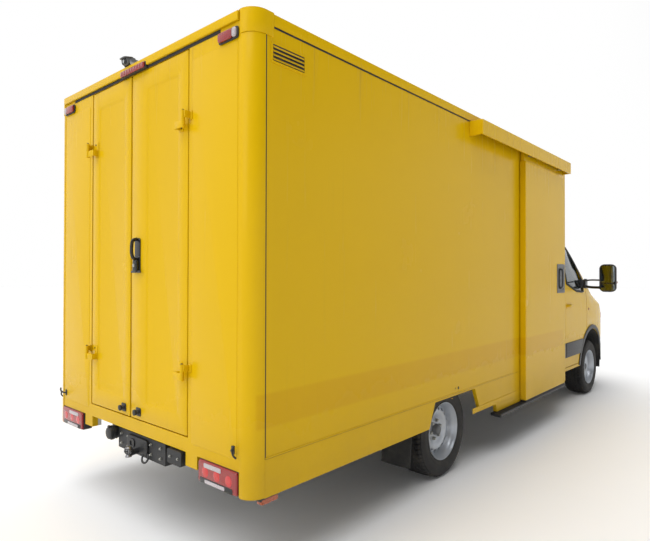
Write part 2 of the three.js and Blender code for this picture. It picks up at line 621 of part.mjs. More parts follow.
// ---------------------------------------------------------------- cab interior
const seatX = 470;
const seatHalf = 240;
function makeInterior() {
  const dash = new THREE.Shape();
  const back = firewallY - 20;
  dash.moveTo(back, 1010);
  dash.lineTo(back, 1330);
  dash.quadraticCurveTo(back - 140, 1350, back - 260, 1290);
  dash.lineTo(back - 300, 1180);
  dash.lineTo(back - 210, 1010);
  const dashboard = prism('x', dash, -925, 925, 4).intersect(cabForm(cabWall + 3));
  place('dashboard', dashboard, blackPlastic);
  const ring = toSolid(new THREE.TorusGeometry(205, 16, 6, 20));
  const hub = toSolid(new THREE.CylinderGeometry(62, 62, 40, 16).rotateX(Math.PI / 2));
  const spokes = box([-200, 200], [-14, 14], [-8, 8]);
  const lean = THREE.MathUtils.radToDeg(-1.05);
  const wheel = joined([ring, hub, spokes]).rotate([lean, 0, 0]).translate([-seatX, back - 460, 1245]);
  const column = rod([-seatX, back - 455, 1242], [-seatX, back - 278, 1140], 34);
  place('steering_wheel', wheel.add(column).subtract(dashboard.translate([0, -touch, 0])), blackPlastic);
  const seatFrom = boxLength + 155;
  for (const [x, word] of [[-seatX, 'driver'], [seatX, 'passenger']]) {
    const seat = new THREE.Shape();
    seat.moveTo(seatFrom, cabFloorTop + touch);
    seat.lineTo(seatFrom + 390, cabFloorTop + touch);
    seat.lineTo(seatFrom + 390, 990);
    seat.quadraticCurveTo(seatFrom + 490, 1000, seatFrom + 490, 1080);
    seat.quadraticCurveTo(seatFrom + 460, 1150, seatFrom + 340, 1130);
    seat.lineTo(seatFrom + 140, 1110);
    seat.lineTo(seatFrom + 40, 1700);
    seat.lineTo(seatFrom + 30, 1880);
    seat.quadraticCurveTo(seatFrom - 30, 1920, seatFrom - 60, 1870);
    seat.lineTo(seatFrom - 60, 1700);
    seat.lineTo(seatFrom - 10, 1000);
    place(`${word}_seat`, prism('x', seat, x - seatHalf, x + seatHalf, 4), fabric);
  }
}

// ---------------------------------------------------------------- wheels
// A ring or disc turned about X, with a flat facet underneath.
function turned(profile, segments) {
  const geometry = new THREE.LatheGeometry(profile.map(([x, r]) => new THREE.Vector2(r, x)), segments);
  geometry.rotateY(Math.PI / segments);
  geometry.rotateZ(-Math.PI / 2);
  return toSolid(geometry);
}

const wheelSegments = 36;
const tyreInnerX = wheelOuterX - tyreWidth;

function tyreProfile() {
  const out = wheelOuterX;
  const inn = tyreInnerX;
  const tread = tyreRadius / Math.cos(Math.PI / wheelSegments);
  const bead = rimRadius + 1.5;
  const half = [[out - 12, bead], [out, (bead + tread) / 2 + 6], [out - 12, tread - 26], [out - 34, tread]];
  const other = half.map(([x, r]) => [inn + out - x, r]).reverse();
  const ring = [...half, ...other].reverse();
  return [...ring, ring[0]];
}

function rimProfile() {
  const out = wheelOuterX - 8;
  const inn = tyreInnerX + 8;
  const disc = out - 96;
  const barrel = rimRadius - 42;
  return [
    [disc, 0], [disc, 95], [disc + 12, barrel - 28], [disc, barrel], [inn + 40, barrel],
    [inn + 8, rimRadius - 22], [inn, rimRadius], [inn + 14, rimRadius], [inn + 50, rimRadius - 26],
    [out - 60, rimRadius - 32], [out - 14, rimRadius], [out, rimRadius], [out - 12, rimRadius - 24],
    [disc + 32, rimRadius - 36], [disc + 34, barrel - 18], [disc + 22, 96], [disc + 50, 80], [disc + 50, 0],
  ];
}

function makeWheels() {
  for (const [y, axleWord] of [[rearAxleY, 'rear'], [frontAxleY, 'front']]) {
    for (const [side, word] of [[1, 'right'], [-1, 'left']]) {
      const at = (solid) => onSide(solid.translate([0, y, axleHeight]), side);
      place(`tyre_${axleWord}_${word}`, at(turned(tyreProfile(), wheelSegments)), rubber);
      place(`rim_${axleWord}_${word}`, at(turned(rimProfile(), 20)), steel);
    }
  }
  for (const [side, word] of [[1, 'right'], [-1, 'left']]) {
    const upright = box([718, 790], [-55, 55], [-86, 90]);
    const hub = cylinder('x', 45, [780, 862], 0, 0, 14);
    const disc = cylinder('x', 140, [800, 824], 0, 0, 20);
    const knuckle = joined([upright, hub, disc]).translate([0, frontAxleY, axleHeight]);
    place(`front_knuckle_${word}`, onSide(knuckle, side), blackSteel);
  }
}

makeChassis();
makeFloor();
makeSideWalls();
makeSkirts();
makeRoof();
makeFrontWall();
makeRearFrame();
makeDoorRail();
makeSlidingDoor();
makeRearLeaves();
makeRearFittings();
makeCab();
makeInterior();
makeWheels();

const bounds = new THREE.Box3().setFromObject(truck);
truck.position.set(0, -(bounds.min.y + bounds.max.y) / 2, -groundZ);
truck.updateMatrixWorld(true);

export default truck;
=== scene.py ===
"""Looks of a closed box-body delivery van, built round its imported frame.

Every length is in metres and every piece is placed from the frame's own boxes. Shapes are
surfaces worked out as whole numpy arrays; finishes are node trees written as expressions.
"""
import json
import logging
import math
from dataclasses import dataclass, field
from enum import Enum
from typing import Any, Iterable, Sequence

import bmesh
import bpy
import numpy as np
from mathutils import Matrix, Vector
from mathutils.bvhtree import BVHTree

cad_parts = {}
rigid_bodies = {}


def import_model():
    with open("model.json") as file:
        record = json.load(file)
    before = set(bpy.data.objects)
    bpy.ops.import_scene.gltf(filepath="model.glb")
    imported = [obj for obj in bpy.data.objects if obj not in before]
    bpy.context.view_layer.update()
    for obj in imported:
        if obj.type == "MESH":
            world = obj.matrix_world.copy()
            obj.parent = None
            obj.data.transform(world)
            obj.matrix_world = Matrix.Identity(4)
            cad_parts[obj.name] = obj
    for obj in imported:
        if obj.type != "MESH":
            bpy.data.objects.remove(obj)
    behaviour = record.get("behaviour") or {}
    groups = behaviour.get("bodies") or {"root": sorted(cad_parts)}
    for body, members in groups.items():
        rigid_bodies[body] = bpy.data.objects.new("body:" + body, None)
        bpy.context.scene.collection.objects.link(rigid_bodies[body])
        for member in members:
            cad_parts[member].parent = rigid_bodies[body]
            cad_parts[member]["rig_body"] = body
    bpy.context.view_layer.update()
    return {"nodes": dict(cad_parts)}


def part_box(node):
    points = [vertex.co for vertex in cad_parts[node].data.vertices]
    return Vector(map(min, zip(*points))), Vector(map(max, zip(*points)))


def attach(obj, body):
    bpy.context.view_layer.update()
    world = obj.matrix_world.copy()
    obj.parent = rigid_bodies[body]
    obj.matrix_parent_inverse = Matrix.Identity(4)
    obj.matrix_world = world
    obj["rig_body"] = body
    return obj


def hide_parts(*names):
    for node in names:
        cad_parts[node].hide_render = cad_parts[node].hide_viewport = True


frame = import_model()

LOG = logging.getLogger("van")
Array = np.ndarray


# ------------------------------------------------------------------ shapes
class Axis(Enum):
    """Which way a flat outline is carried to become a solid."""

    X = (1, 2, 0)
    Y = (0, 2, 1)
    Z = (0, 1, 2)


@dataclass
class Shell:
    """Points and faces of a piece while it is being shaped.

    Args:
        points: Array of n points.
        faces: Lists of point numbers, one list a face.
    """

    points: Array
    faces: list[list[int]]

    def __add__(self, other: "Shell") -> "Shell":
        """Both shells as one."""
        start = len(self.points)
        moved = [[i + start for i in face] for face in other.faces]
        return Shell(np.vstack([self.points, other.points]), self.faces + moved)

    def moved(self, x: float = 0.0, y: float = 0.0, z: float = 0.0) -> "Shell":
        """The shell shifted by a vector."""
        return Shell(self.points + np.array([x, y, z]), self.faces)

    def turned(self, axis: int, degrees: float, about: Sequence[float] = (0, 0, 0)) -> "Shell":
        """The shell turned about an axis (0 X, 1 Y, 2 Z) through a point, by the right-hand rule."""
        a, b = (axis + 1) % 3, (axis + 2) % 3
        c, s = math.cos(math.radians(degrees)), math.sin(math.radians(degrees))
        p = self.points - np.array(about)
        out = p.copy()
        out[:, a] = c * p[:, a] - s * p[:, b]
        out[:, b] = s * p[:, a] + c * p[:, b]
        return Shell(out + np.array(about), self.faces)

    def mirrored(self) -> "Shell":
        """The shell's twin across the middle plane of the van, still facing outwards."""
        return Shell(self.points * np.array([-1, 1, 1]), [face[::-1] for face in self.faces])

    def both(self) -> "Shell":
        """The shell and its twin across the middle plane."""
        return self + self.mirrored()

    def repeated(self, offsets: Array) -> "Shell":
        """A copy of the shell at each offset.

        Args:
            offsets: Array of k shifts.

        Returns:
            One shell with k copies.
        """
        offsets = np.atleast_2d(offsets)
        count = len(self.points)
        points = (self.points[None] + offsets[:, None]).reshape(-1, 3)
        faces = [[i + k * count for i in face] for k in range(len(offsets)) for face in self.faces]
        return Shell(points, faces)


def on_side(shell: Shell, side: int) -> Shell:
    """The shell itself on the right side (+1), or its twin on the left (-1)."""
    return shell if side > 0 else shell.mirrored()


def total(shells: Iterable[Shell]) -> Shell:
    """All the shells as one."""
    shells = list(shells)
    whole = shells[0]
    for shell in shells[1:]:
        whole = whole + shell
    return whole


def grid(points: Array, ring: bool = False, caps: bool = False) -> Shell:
    """A surface through a grid of points.

    Args:
        points: Array of m rows of n points; rows run along the piece, columns round it.
        ring: Whether each row closes on itself.
        caps: Whether the first and last rows are closed by a face.

    Returns:
        The shell of quads between neighbouring points.
    """
    m, n = points.shape[:2]
    index = np.arange(m * n).reshape(m, n)
    if ring:
        index = np.hstack([index, index[:, :1]])
    quads = np.stack([index[:-1, :-1], index[:-1, 1:], index[1:, 1:], index[1:, :-1]], axis=-1)
    faces = quads.reshape(-1, 4).tolist()
    if caps:
        faces += [list(range(n))[::-1], list(range((m - 1) * n, m * n))]
    return Shell(points.reshape(-1, 3).astype(float), faces)


def revolved(profile: Sequence[Sequence[float]], segments: int = 32, axis: int = 0) -> Shell:
    """A profile turned about an axis through the origin.

    The point (along, radius) goes to along on the axis, and to radius times the cosine and sine
    of the turn on the two axes after it.

    Args:
        profile: Points (along, radius). One that starts and ends off the axis closes on itself.
        segments: Faces round the turn.
        axis: 0 for X, 1 for Y, 2 for Z.

    Returns:
        The closed shell.
    """
    pts = np.array(profile, float)
    if pts[0, 1] > 1e-6:
        pts = np.vstack([pts, pts[:1]])
    turn = np.linspace(0, 2 * np.pi, segments, endpoint=False)
    out = np.empty((len(pts), segments, 3))
    out[..., axis] = pts[:, :1]
    out[..., (axis + 1) % 3] = pts[:, 1:] * np.cos(turn)
    out[..., (axis + 2) % 3] = pts[:, 1:] * np.sin(turn)
    return grid(out, ring=True)


def rounded_rect(width: float, height: float, radius: float, steps: int = 5) -> Array:
    """Outline of a rectangle with round corners, centred on the origin, anticlockwise."""
    radius = min(radius, width / 2 - 1e-5, height / 2 - 1e-5)
    sweep = np.linspace(0, np.pi / 2, steps + 1)
    corners = []
    for k, (sx, sy) in enumerate([(1, 1), (-1, 1), (-1, -1), (1, -1)]):
        centre = np.array([sx * (width / 2 - radius), sy * (height / 2 - radius)])
        turn = sweep + k * np.pi / 2
        corners.append(centre + radius * np.column_stack([np.cos(turn), np.sin(turn)]))
    return np.vstack(corners)


def inset(outline: Array, depth: float) -> Array:
    """An anticlockwise outline drawn in by a depth along its mitred normals."""
    before, after = np.roll(outline, 1, 0), np.roll(outline, -1, 0)
    a = outline - before
    b = after - outline
    a /= np.linalg.norm(a, axis=1, keepdims=True) + 1e-12
    b /= np.linalg.norm(b, axis=1, keepdims=True) + 1e-12
    na = np.column_stack([-a[:, 1], a[:, 0]])
    nb = np.column_stack([-b[:, 1], b[:, 0]])
    bisector = na + nb
    bisector /= np.linalg.norm(bisector, axis=1, keepdims=True) + 1e-12
    stretch = np.clip(np.sum(bisector * na, axis=1), 0.5, 1.0)
    return outline + bisector * (depth / stretch)[:, None]


def slab(outline: Array, low: float, high: float, radius: float, axis: Axis, steps: int = 3) -> Shell:
    """A flat outline carried from low to high, with quarter-round edges.

    Args:
        outline: Anticlockwise points in the plane of the slab.
        low: Where the slab starts along its axis.
        high: Where it ends.
        radius: Radius of its edges.
        axis: The direction it is carried.
        steps: Faces over each edge.

    Returns:
        The closed shell.
    """
    radius = min(radius, (high - low) / 2 - 1e-5)
    angle = np.linspace(0, np.pi / 2, steps + 1)
    draw = radius * (1 - np.sin(angle))
    rise = radius * (1 - np.cos(angle))
    rows = [np.column_stack([inset(outline, d), np.full(len(outline), low + h)]) for d, h in zip(draw, rise)]
    rows += [np.column_stack([inset(outline, d), np.full(len(outline), high - h)])
             for d, h in zip(draw[::-1], rise[::-1])]
    stack = np.array(rows)
    world = np.empty_like(stack)
    for source, target in enumerate(axis.value):
        world[..., target] = stack[..., source]
    return grid(world, ring=True, caps=True)


def block(low: Sequence[float], high: Sequence[float], radius: float, axis: Axis = Axis.Z,
          corner: float | None = None, steps: int = 2) -> Shell:
    """A box between two corners with every edge rounded."""
    low, high = np.array(low, float), np.array(high, float)
    a, b, c = axis.value
    outline = rounded_rect(high[a] - low[a], high[b] - low[b], corner or radius, steps)
    outline = outline + np.array([(high[a] + low[a]) / 2, (high[b] + low[b]) / 2])
    return slab(outline, low[c], high[c], radius, axis, steps)


def tube(path: Array, radius: float | Array, sides: int = 12, up: Sequence[float] = (0, 0, 1),
         section: Array | None = None) -> Shell:
    """A section carried along a path.

    Args:
        path: Array of points along the middle.
        radius: Radius of the tube, or the scale of the section, the same all along or one a point.
        sides: Faces round it.
        up: A direction that is never along the path; the section stands on it.
        section: Outline to carry in place of a circle, in units of the radius.

    Returns:
        The closed shell.
    """
    path = np.array(path, float)
    along = np.gradient(path, axis=0)
    along /= np.linalg.norm(along, axis=1, keepdims=True)
    across = np.cross(along, np.array(up, float))
    across /= np.linalg.norm(across, axis=1, keepdims=True)
    over = np.cross(across, along)
    if section is None:
        turn = np.linspace(0, 2 * np.pi, sides, endpoint=False)
        section = np.column_stack([np.cos(turn), np.sin(turn)])
    size = np.broadcast_to(np.asarray(radius, float), (len(path),))[:, None, None]
    ring = section[None, :, :1] * across[:, None] + section[None, :, 1:] * over[:, None]
    return grid(path[:, None] + size * ring, ring=True, caps=True)


def smooth_path(points: Sequence[Sequence[float]], count: int = 40) -> Array:
    """A smooth curve through a few points: a Catmull-Rom spline sampled evenly in its parameter."""
    p = np.array(points, float)
    p = np.vstack([2 * p[0] - p[1], p, 2 * p[-1] - p[-2]])
    t = np.linspace(0, len(p) - 3 - 1e-9, count)
    i = np.floor(t).astype(int)
    f = (t - i)[:, None]
    a, b, c, d = p[i], p[i + 1], p[i + 2], p[i + 3]
    return 0.5 * (2 * b + (c - a) * f + (2 * a - 5 * b + 4 * c - d) * f ** 2
                  + (3 * b - a - 3 * c + d) * f ** 3)


def rod(start: Sequence[float], end: Sequence[float], radius: float, sides: int = 14) -> Shell:
    """A straight round bar with softened ends between two points."""
    start, end = np.array(start, float), np.array(end, float)
    length = np.linalg.norm(end - start)
    soft = min(radius * 0.3, length / 4)
    t = np.array([0, 0, soft, length - soft, length, length]) / length
    size = radius * np.array([0.0, 0.75, 1, 1, 0.75, 0.0]) + 1e-6
    path = start + (end - start) * t[:, None]
    along = (end - start) / length
    up = (0, 0, 1) if abs(along[2]) < 0.9 else (0, 1, 0)
    across = np.cross(along, up)
    across /= np.linalg.norm(across)
    over = np.cross(across, along)
    turn = np.linspace(0, 2 * np.pi, sides, endpoint=False)
    ring = np.cos(turn)[:, None] * across + np.sin(turn)[:, None] * over
    return grid(path[:, None] + size[:, None, None] * ring[None], ring=True, caps=True)


def hex_heads(places: Array, size: float, height: float, axis: int, outwards: int = 1) -> Shell:
    """Hexagon bolt heads on washers, one at each place, standing out along an axis."""
    washer = revolved([(0, 0), (0, size * 0.72), (height * 0.25, size * 0.72), (height * 0.25, 0)], 14, axis)
    head = revolved([(height * 0.2, 0), (height * 0.2, size * 0.56), (height * 0.9, size * 0.56),
                     (height, size * 0.48), (height, 0)], 6, axis)
    bolt = washer + head
    if outwards < 0:
        bolt = bolt.turned((axis + 1) % 3, 180)
    return bolt.repeated(places)


def bowl(centre: Sequence[float], radii: Sequence[float], axis: int, outwards: int = 1, rows: int = 6,
         sides: int = 20) -> Shell:
    """A shallow closed dome: a half ellipsoid whose rim is radii[1] wide and whose rise is radii[0]."""
    angle = np.linspace(0, np.pi / 2, rows)
    profile = [(0.0, 0.0), *np.column_stack([np.sin(angle), np.cos(angle)]) * np.array([radii[0], radii[1]])]
    profile = [(a, max(r, 0.0)) for a, r in profile]
    profile[-1] = (radii[0], 0.0)
    dome = revolved(profile, sides, axis)
    if outwards < 0:
        dome = dome.turned((axis + 1) % 3, 180)
    return dome.moved(*centre)


def make(name: str, shell: Shell, finish: bpy.types.Material, body: str = "root",
         sharp: float = 35.0, merge: float = 1e-6, replaces: Sequence[str] = ()) -> bpy.types.Object:
    """A finished piece: its mesh, finish, body and material slot.

    Args:
        name: The piece's name.
        shell: Its shape, counted from the drawing's datum.
        finish: Its material.
        body: The body it rides on.
        sharp: Edges that turn by more than this many degrees stay crisp.
        merge: Points nearer than this become one.
        replaces: CAD nodes that it stands for.

    Returns:
        The object, at the origin, with its place in its mesh.
    """
    mesh = bpy.data.meshes.new(name)
    mesh.from_pydata((shell.points + DATUM).tolist(), [], shell.faces)
    work = bmesh.new()
    work.from_mesh(mesh)
    bmesh.ops.remove_doubles(work, verts=work.verts, dist=merge)
    bmesh.ops.recalc_face_normals(work, faces=work.faces)
    work.to_mesh(mesh)
    work.free()
    mesh.polygons.foreach_set("use_smooth", np.ones(len(mesh.polygons), bool))
    mesh.set_sharp_from_angle(angle=math.radians(sharp))
    mesh.materials.append(finish)
    piece = bpy.data.objects.new(name, mesh)
    bpy.context.scene.collection.objects.link(piece)
    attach(piece, body)
    if replaces:
        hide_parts(*replaces)
    LOG.info("%s: %d faces on %s", name, len(mesh.polygons), body)
    return piece


def refined(node: str, finish: bpy.types.Material, bevel: float = 0.0, sharp: float = 28.0,
            flat: float = 0.6) -> bpy.types.Object:
    """A CAD node's own shape with merged faces, softened edges and smooth shading.

    Args:
        node: The CAD node that the piece stands for.
        finish: Its material.
        bevel: Width of the rounding of its sharp edges.
        sharp: Edges that turn by more than this many degrees are sharp.
        flat: Faces that turn by less than this many degrees become one.

    Returns:
        The new piece.
    """
    piece = bpy.data.objects.new(f"{node}_skin", frame["nodes"][node].data.copy())
    mesh = piece.data
    mesh.materials.clear()
    mesh.materials.append(finish)
    bpy.context.scene.collection.objects.link(piece)
    work = bmesh.new()
    work.from_mesh(mesh)
    bmesh.ops.remove_doubles(work, verts=work.verts, dist=2e-5)
    bmesh.ops.dissolve_limit(work, angle_limit=math.radians(flat), verts=work.verts, edges=work.edges,
                             use_dissolve_boundaries=False)
    work.to_mesh(mesh)
    work.free()
    mesh.polygons.foreach_set("use_smooth", np.ones(len(mesh.polygons), bool))
    mesh.set_sharp_from_angle(angle=math.radians(sharp))
    if bevel:
        edge = piece.modifiers.new("soft_edges", "BEVEL")
        edge.width = bevel
        edge.segments = 2
        edge.limit_method = "ANGLE"
        edge.angle_limit = math.radians(sharp)
        edge.harden_normals = True
        edge.use_clamp_overlap = True
    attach(piece, frame["nodes"][node]["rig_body"])
    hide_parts(node)
    LOG.info("%s: refined, %d faces", node, len(mesh.polygons))
    return piece


def corners(node: str) -> tuple[Array, Array]:
    """Lowest and highest corner of a CAD node, in metres."""
    low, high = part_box(node)
    return np.array(low), np.array(high)


# Shapes are drawn from a datum: the middle of the box's rear face, 2.72 m under its roof.
DATUM = np.array([0.0, corners("rear_frame")[0][1], corners("box_roof")[1][2] - 2.72])


# ------------------------------------------------------------------ shader maths
class Field:
    """A shader number that varies over a surface, with the arithmetic that the finishes use."""

    def __init__(self, tree: "Tree", socket: bpy.types.NodeSocket) -> None:
        """Wraps an output socket of a tree."""
        self.tree = tree
        self.socket = socket

    def maths(self, operation: str, *values: Any, clamp: bool = False) -> "Field":
        """A Math node on these values."""
        node = self.tree.node("ShaderNodeMath", {"operation": operation, "use_clamp": clamp},
                              dict(enumerate(values)))
        return Field(self.tree, node.outputs[0])

    def __add__(self, other: Any) -> "Field":
        """Sum."""
        return self.maths("ADD", self, other)

    __radd__ = __add__

    def __mul__(self, other: Any) -> "Field":
        """Product."""
        return self.maths("MULTIPLY", self, other)

    __rmul__ = __mul__

    def __sub__(self, other: Any) -> "Field":
        """Difference."""
        return self.maths("SUBTRACT", self, other)

    def __rsub__(self, other: Any) -> "Field":
        """Difference, with the number first."""
        return self.maths("SUBTRACT", other, self)

    def __truediv__(self, other: Any) -> "Field":
        """Quotient."""
        return self.maths("DIVIDE", self, other)

    def __abs__(self) -> "Field":
        """Size without sign."""
        return self.maths("ABSOLUTE", self)

    def power(self, exponent: float) -> "Field":
        """The field raised to a power."""
        return self.maths("POWER", self, exponent)

    def sine(self) -> "Field":
        """Sine of the field, in radians."""
        return self.maths("SINE", self)

    def larger(self, other: Any) -> "Field":
        """The larger of two."""
        return self.maths("MAXIMUM", self, other)

    def smaller(self, other: Any) -> "Field":
        """The smaller of two."""
        return self.maths("MINIMUM", self, other)

    def step(self, low: float, high: float) -> "Field":
        """0 below low and 1 above high, smooth between; the other way round if low is above high."""
        node = self.tree.node("ShaderNodeMapRange", {"interpolation_type": "SMOOTHSTEP"},
                              {"Value": self, "From Min": min(low, high), "From Max": max(low, high),
                               "To Min": 0.0 if low < high else 1.0, "To Max": 1.0 if low < high else 0.0})
        return Field(self.tree, node.outputs["Result"])

    def band(self, low: float, high: float, soft: float) -> "Field":
        """1 between two values and 0 outside, with soft edges."""
        return self.step(low - soft, low + soft) * self.step(high + soft, high - soft)


class Tree:
    """The node tree of one finish."""

    def __init__(self, name: str) -> None:
        """Starts a material with one principled shader.

        Args:
            name: The material's name.
        """
        self.material = bpy.data.materials.new(name)
        self.material.use_nodes = True
        self.nodes = self.material.node_tree.nodes
        self.links = self.material.node_tree.links
        self.nodes.clear()
        self.shader = self.nodes.new("ShaderNodeBsdfPrincipled")
        self.output = self.nodes.new("ShaderNodeOutputMaterial")
        self.links.new(self.shader.outputs[0], self.output.inputs["Surface"])
        self.place = self.nodes.new("ShaderNodeTexCoord").outputs["Object"]

    def feed(self, socket: bpy.types.NodeSocket, value: Any) -> None:
        """Sets or links an input."""
        if isinstance(value, Field):
            value = value.socket
        if isinstance(value, bpy.types.NodeSocket):
            self.links.new(value, socket)
        elif socket.type == "RGBA" and len(value) == 3:
            socket.default_value = (*value, 1.0)
        else:
            socket.default_value = value

    def node(self, kind: str, settings: dict[str, Any] | None = None,
             inputs: dict[Any, Any] | None = None) -> bpy.types.Node:
        """Adds a node.

        Args:
            kind: The node's type.
            settings: Its settings; a ramp's stops are pairs of place and colour.
            inputs: Values or links by socket name, identifier or number.

        Returns:
            The node.
        """
        node = self.nodes.new(kind)
        settings = dict(settings or {})
        stops = settings.pop("stops", None)
        for key, value in settings.items():
            setattr(node, key, value)
        if stops:
            while len(node.color_ramp.elements) < len(stops):
                node.color_ramp.elements.new(0.5)
            for element, (at, colour) in zip(node.color_ramp.elements, stops):
                element.position = at
                element.color = (*colour, 1.0)
        for key, value in (inputs or {}).items():
            if isinstance(key, int):
                socket = node.inputs[key]
            else:
                socket = next(s for s in node.inputs if key in (s.identifier, s.name))
            self.feed(socket, value)
        return node

    def axes(self) -> tuple[Field, Field, Field]:
        """The three object coordinates, in metres."""
        node = self.node("ShaderNodeSeparateXYZ", {}, {0: self.place})
        return tuple(Field(self, socket) for socket in node.outputs)

    def noise(self, scale: float, detail: float = 3.0, rough: float = 0.55,
              stretch: Sequence[float] = (1, 1, 1), where: Any = None) -> Field:
        """Fractal noise from 0 to 1, with so many features a metre."""
        vector = self.node("ShaderNodeVectorMath", {"operation": "MULTIPLY"},
                           {0: where or self.place, 1: tuple(stretch)}).outputs[0]
        node = self.node("ShaderNodeTexNoise", {}, {"Vector": vector, "Scale": scale, "Detail": detail,
                                                   "Roughness": rough})
        return Field(self, node.outputs["Fac"])

    def cells(self, scale: float, stretch: Sequence[float] = (1, 1, 1), feature: str = "F1") -> Field:
        """Distance to the nearest of scattered points, in cells."""
        vector = self.node("ShaderNodeVectorMath", {"operation": "MULTIPLY"},
                           {0: self.place, 1: tuple(stretch)}).outputs[0]
        node = self.node("ShaderNodeTexVoronoi", {"feature": feature}, {"Vector": vector, "Scale": scale})
        return Field(self, node.outputs["Distance"])

    def blend(self, factor: Any, low: Any, high: Any, mode: str = "MIX") -> bpy.types.NodeSocket:
        """A colour between two colours."""
        node = self.node("ShaderNodeMix", {"data_type": "RGBA", "blend_type": mode},
                         {"Factor_Float": factor, "A_Color": low, "B_Color": high})
        return next(s for s in node.outputs if s.identifier == "Result_Color")

    def bump(self, height: Field, distance: float, strength: float = 1.0,
             under: bpy.types.NodeSocket | None = None) -> bpy.types.NodeSocket:
        """A normal from a height, in metres of relief."""
        inputs = {"Height": height, "Distance": distance, "Strength": strength}
        if under is not None:
            inputs["Normal"] = under
        return self.node("ShaderNodeBump", {}, inputs).outputs[0]

    def finish(self, **inputs: Any) -> bpy.types.Material:
        """Feeds the shader's sockets, named with underscores for spaces, and gives the material."""
        for key, value in inputs.items():
            self.feed(self.shader.inputs[key.replace("_", " ")], value)
        return self.material


def srgb(r: int, g: int, b: int) -> tuple[float, float, float]:
    """A screen colour as linear light."""
    c = np.array([r, g, b]) / 255
    return tuple(np.where(c <= 0.04045, c / 12.92, ((c + 0.055) / 1.055) ** 2.4).tolist())


# ------------------------------------------------------------------ finishes
@dataclass(frozen=True)
class BodyPaint:
    """Gloss body paint with orange peel, faint streaks, road dirt low down and a faded band.

    Args:
        name: The material's name.
        colour: Colour of clean paint.
        deep: Colour of the band along the sides that kept more of its pigment.
        lining: Colour of the load space's inner faces, or nothing where paint goes right round.
        wells: Whether the front wheel openings and the underside carry black undercoat.
    """

    name: str = "yellow_paint"
    colour: tuple[float, float, float] = srgb(217, 175, 8)
    deep: tuple[float, float, float] = srgb(206, 160, 5)
    dirt: tuple[float, float, float] = srgb(120, 98, 62)
    lining: tuple[float, float, float] | None = srgb(205, 207, 204)
    wells: bool = False

    def build(self) -> bpy.types.Material:
        """Makes the material."""
        tree = Tree(self.name)
        x, y, z = tree.axes()
        side, ahead, height = abs(x), y - DATUM[1], z - DATUM[2]
        cloud = tree.noise(2.2, 4.0, 0.6)
        streak = tree.noise(1.0, 4.0, 0.6, (26.0, 26.0, 0.9))
        fleck = tree.noise(70.0, 3.0, 0.65)
        paint = tree.blend((cloud - 0.5) * 0.5 + 0.4, self.colour, tuple(c * 0.93 for c in self.colour))
        band = height.band(0.772, 0.934, 0.010) * side.step(1.02, 1.03) * ahead.step(4.16, 4.13)
        paint = tree.blend(band * (cloud * 0.5 + 0.5), paint, self.deep)
        under_rail = height.step(2.25, 2.66) * height.step(2.70, 2.66)
        low = height.step(0.95, 0.40)
        stain = (low * (cloud * 0.9 + fleck * 0.3) * 0.30 + under_rail * streak.step(0.52, 0.8) * 0.22
                 + streak.step(0.58, 0.85) * 0.08)
        paint = tree.blend(stain.smaller(0.6), paint, self.dirt)
        specks = fleck.step(0.73, 0.79) * low * 0.5
        paint = tree.blend(specks, paint, srgb(70, 58, 44))
        rough = cloud * 0.08 + stain * 0.5 + 0.22
        if self.lining:
            inside = (side.step(0.9985, 0.9965) * ahead.step(0.036, 0.0385) * ahead.step(4.4275, 4.4245)
                      * height.step(2.6815, 2.6795))
            scuff = tree.noise(9.0, 5.0, 0.7, (1, 1, 0.4)).step(0.52, 0.75)
            liner = tree.blend(scuff * 0.35, self.lining, tuple(c * 0.62 for c in self.lining))
            paint = tree.blend(inside, paint, liner)
            rough = rough + inside * 0.2
        if self.wells:
            along, up = ahead - 5.555, height - 0.356
            well = (along * along + up * up).power(0.5).step(0.4775, 0.4755) * side.step(0.990, 0.984)
            under = height.step(0.640, 0.600) * side.step(0.900, 0.880)
            coat = well.larger(under)
            paint = tree.blend(coat, paint, srgb(25, 26, 28))
            rough = rough + coat * 0.35
        peel = tree.noise(380.0, 2.0)
        wave = tree.noise(7.0, 2.0)
        relief = tree.bump(peel, 0.00012, 0.5, tree.bump(wave, 0.0016, 0.35))
        return tree.finish(Base_Color=paint, Roughness=rough, Normal=relief, Coat_Weight=0.06,
                           Coat_Roughness=0.10,
                           Specular_IOR_Level=0.10)


@dataclass(frozen=True)
class Moulding:
    """Grained black plastic or rubber, greyed by dust in patches.

    Args:
        name: The material's name.
        colour: Colour of the plastic.
        dust: How much lighter dusty patches are, from 0 to 1.
        rough: Roughness of the clean surface.
        grain: Grains a metre.
        relief: Depth of the grain, in metres.
        dust_colour: Colour of the dust.
    """

    name: str
    colour: tuple[float, float, float] = srgb(30, 31, 33)
    dust: float = 0.25
    rough: float = 0.5
    grain: float = 520.0
    relief: float = 0.00025
    dust_colour: tuple[float, float, float] = srgb(112, 106, 96)

    def build(self) -> bpy.types.Material:
        """Makes the material."""
        tree = Tree(self.name)
        patch = tree.noise(6.0, 5.0, 0.65)
        grain = tree.cells(self.grain)
        soft = tree.noise(45.0, 3.0)
        worn = patch.step(0.42, 0.78) * self.dust + soft * self.dust * 0.25
        colour = tree.blend(worn, self.colour, self.dust_colour)
        rough = worn * 0.35 + soft * 0.1 + self.rough
        return tree.finish(Base_Color=colour, Roughness=rough, Normal=tree.bump(grain, self.relief, 0.6))


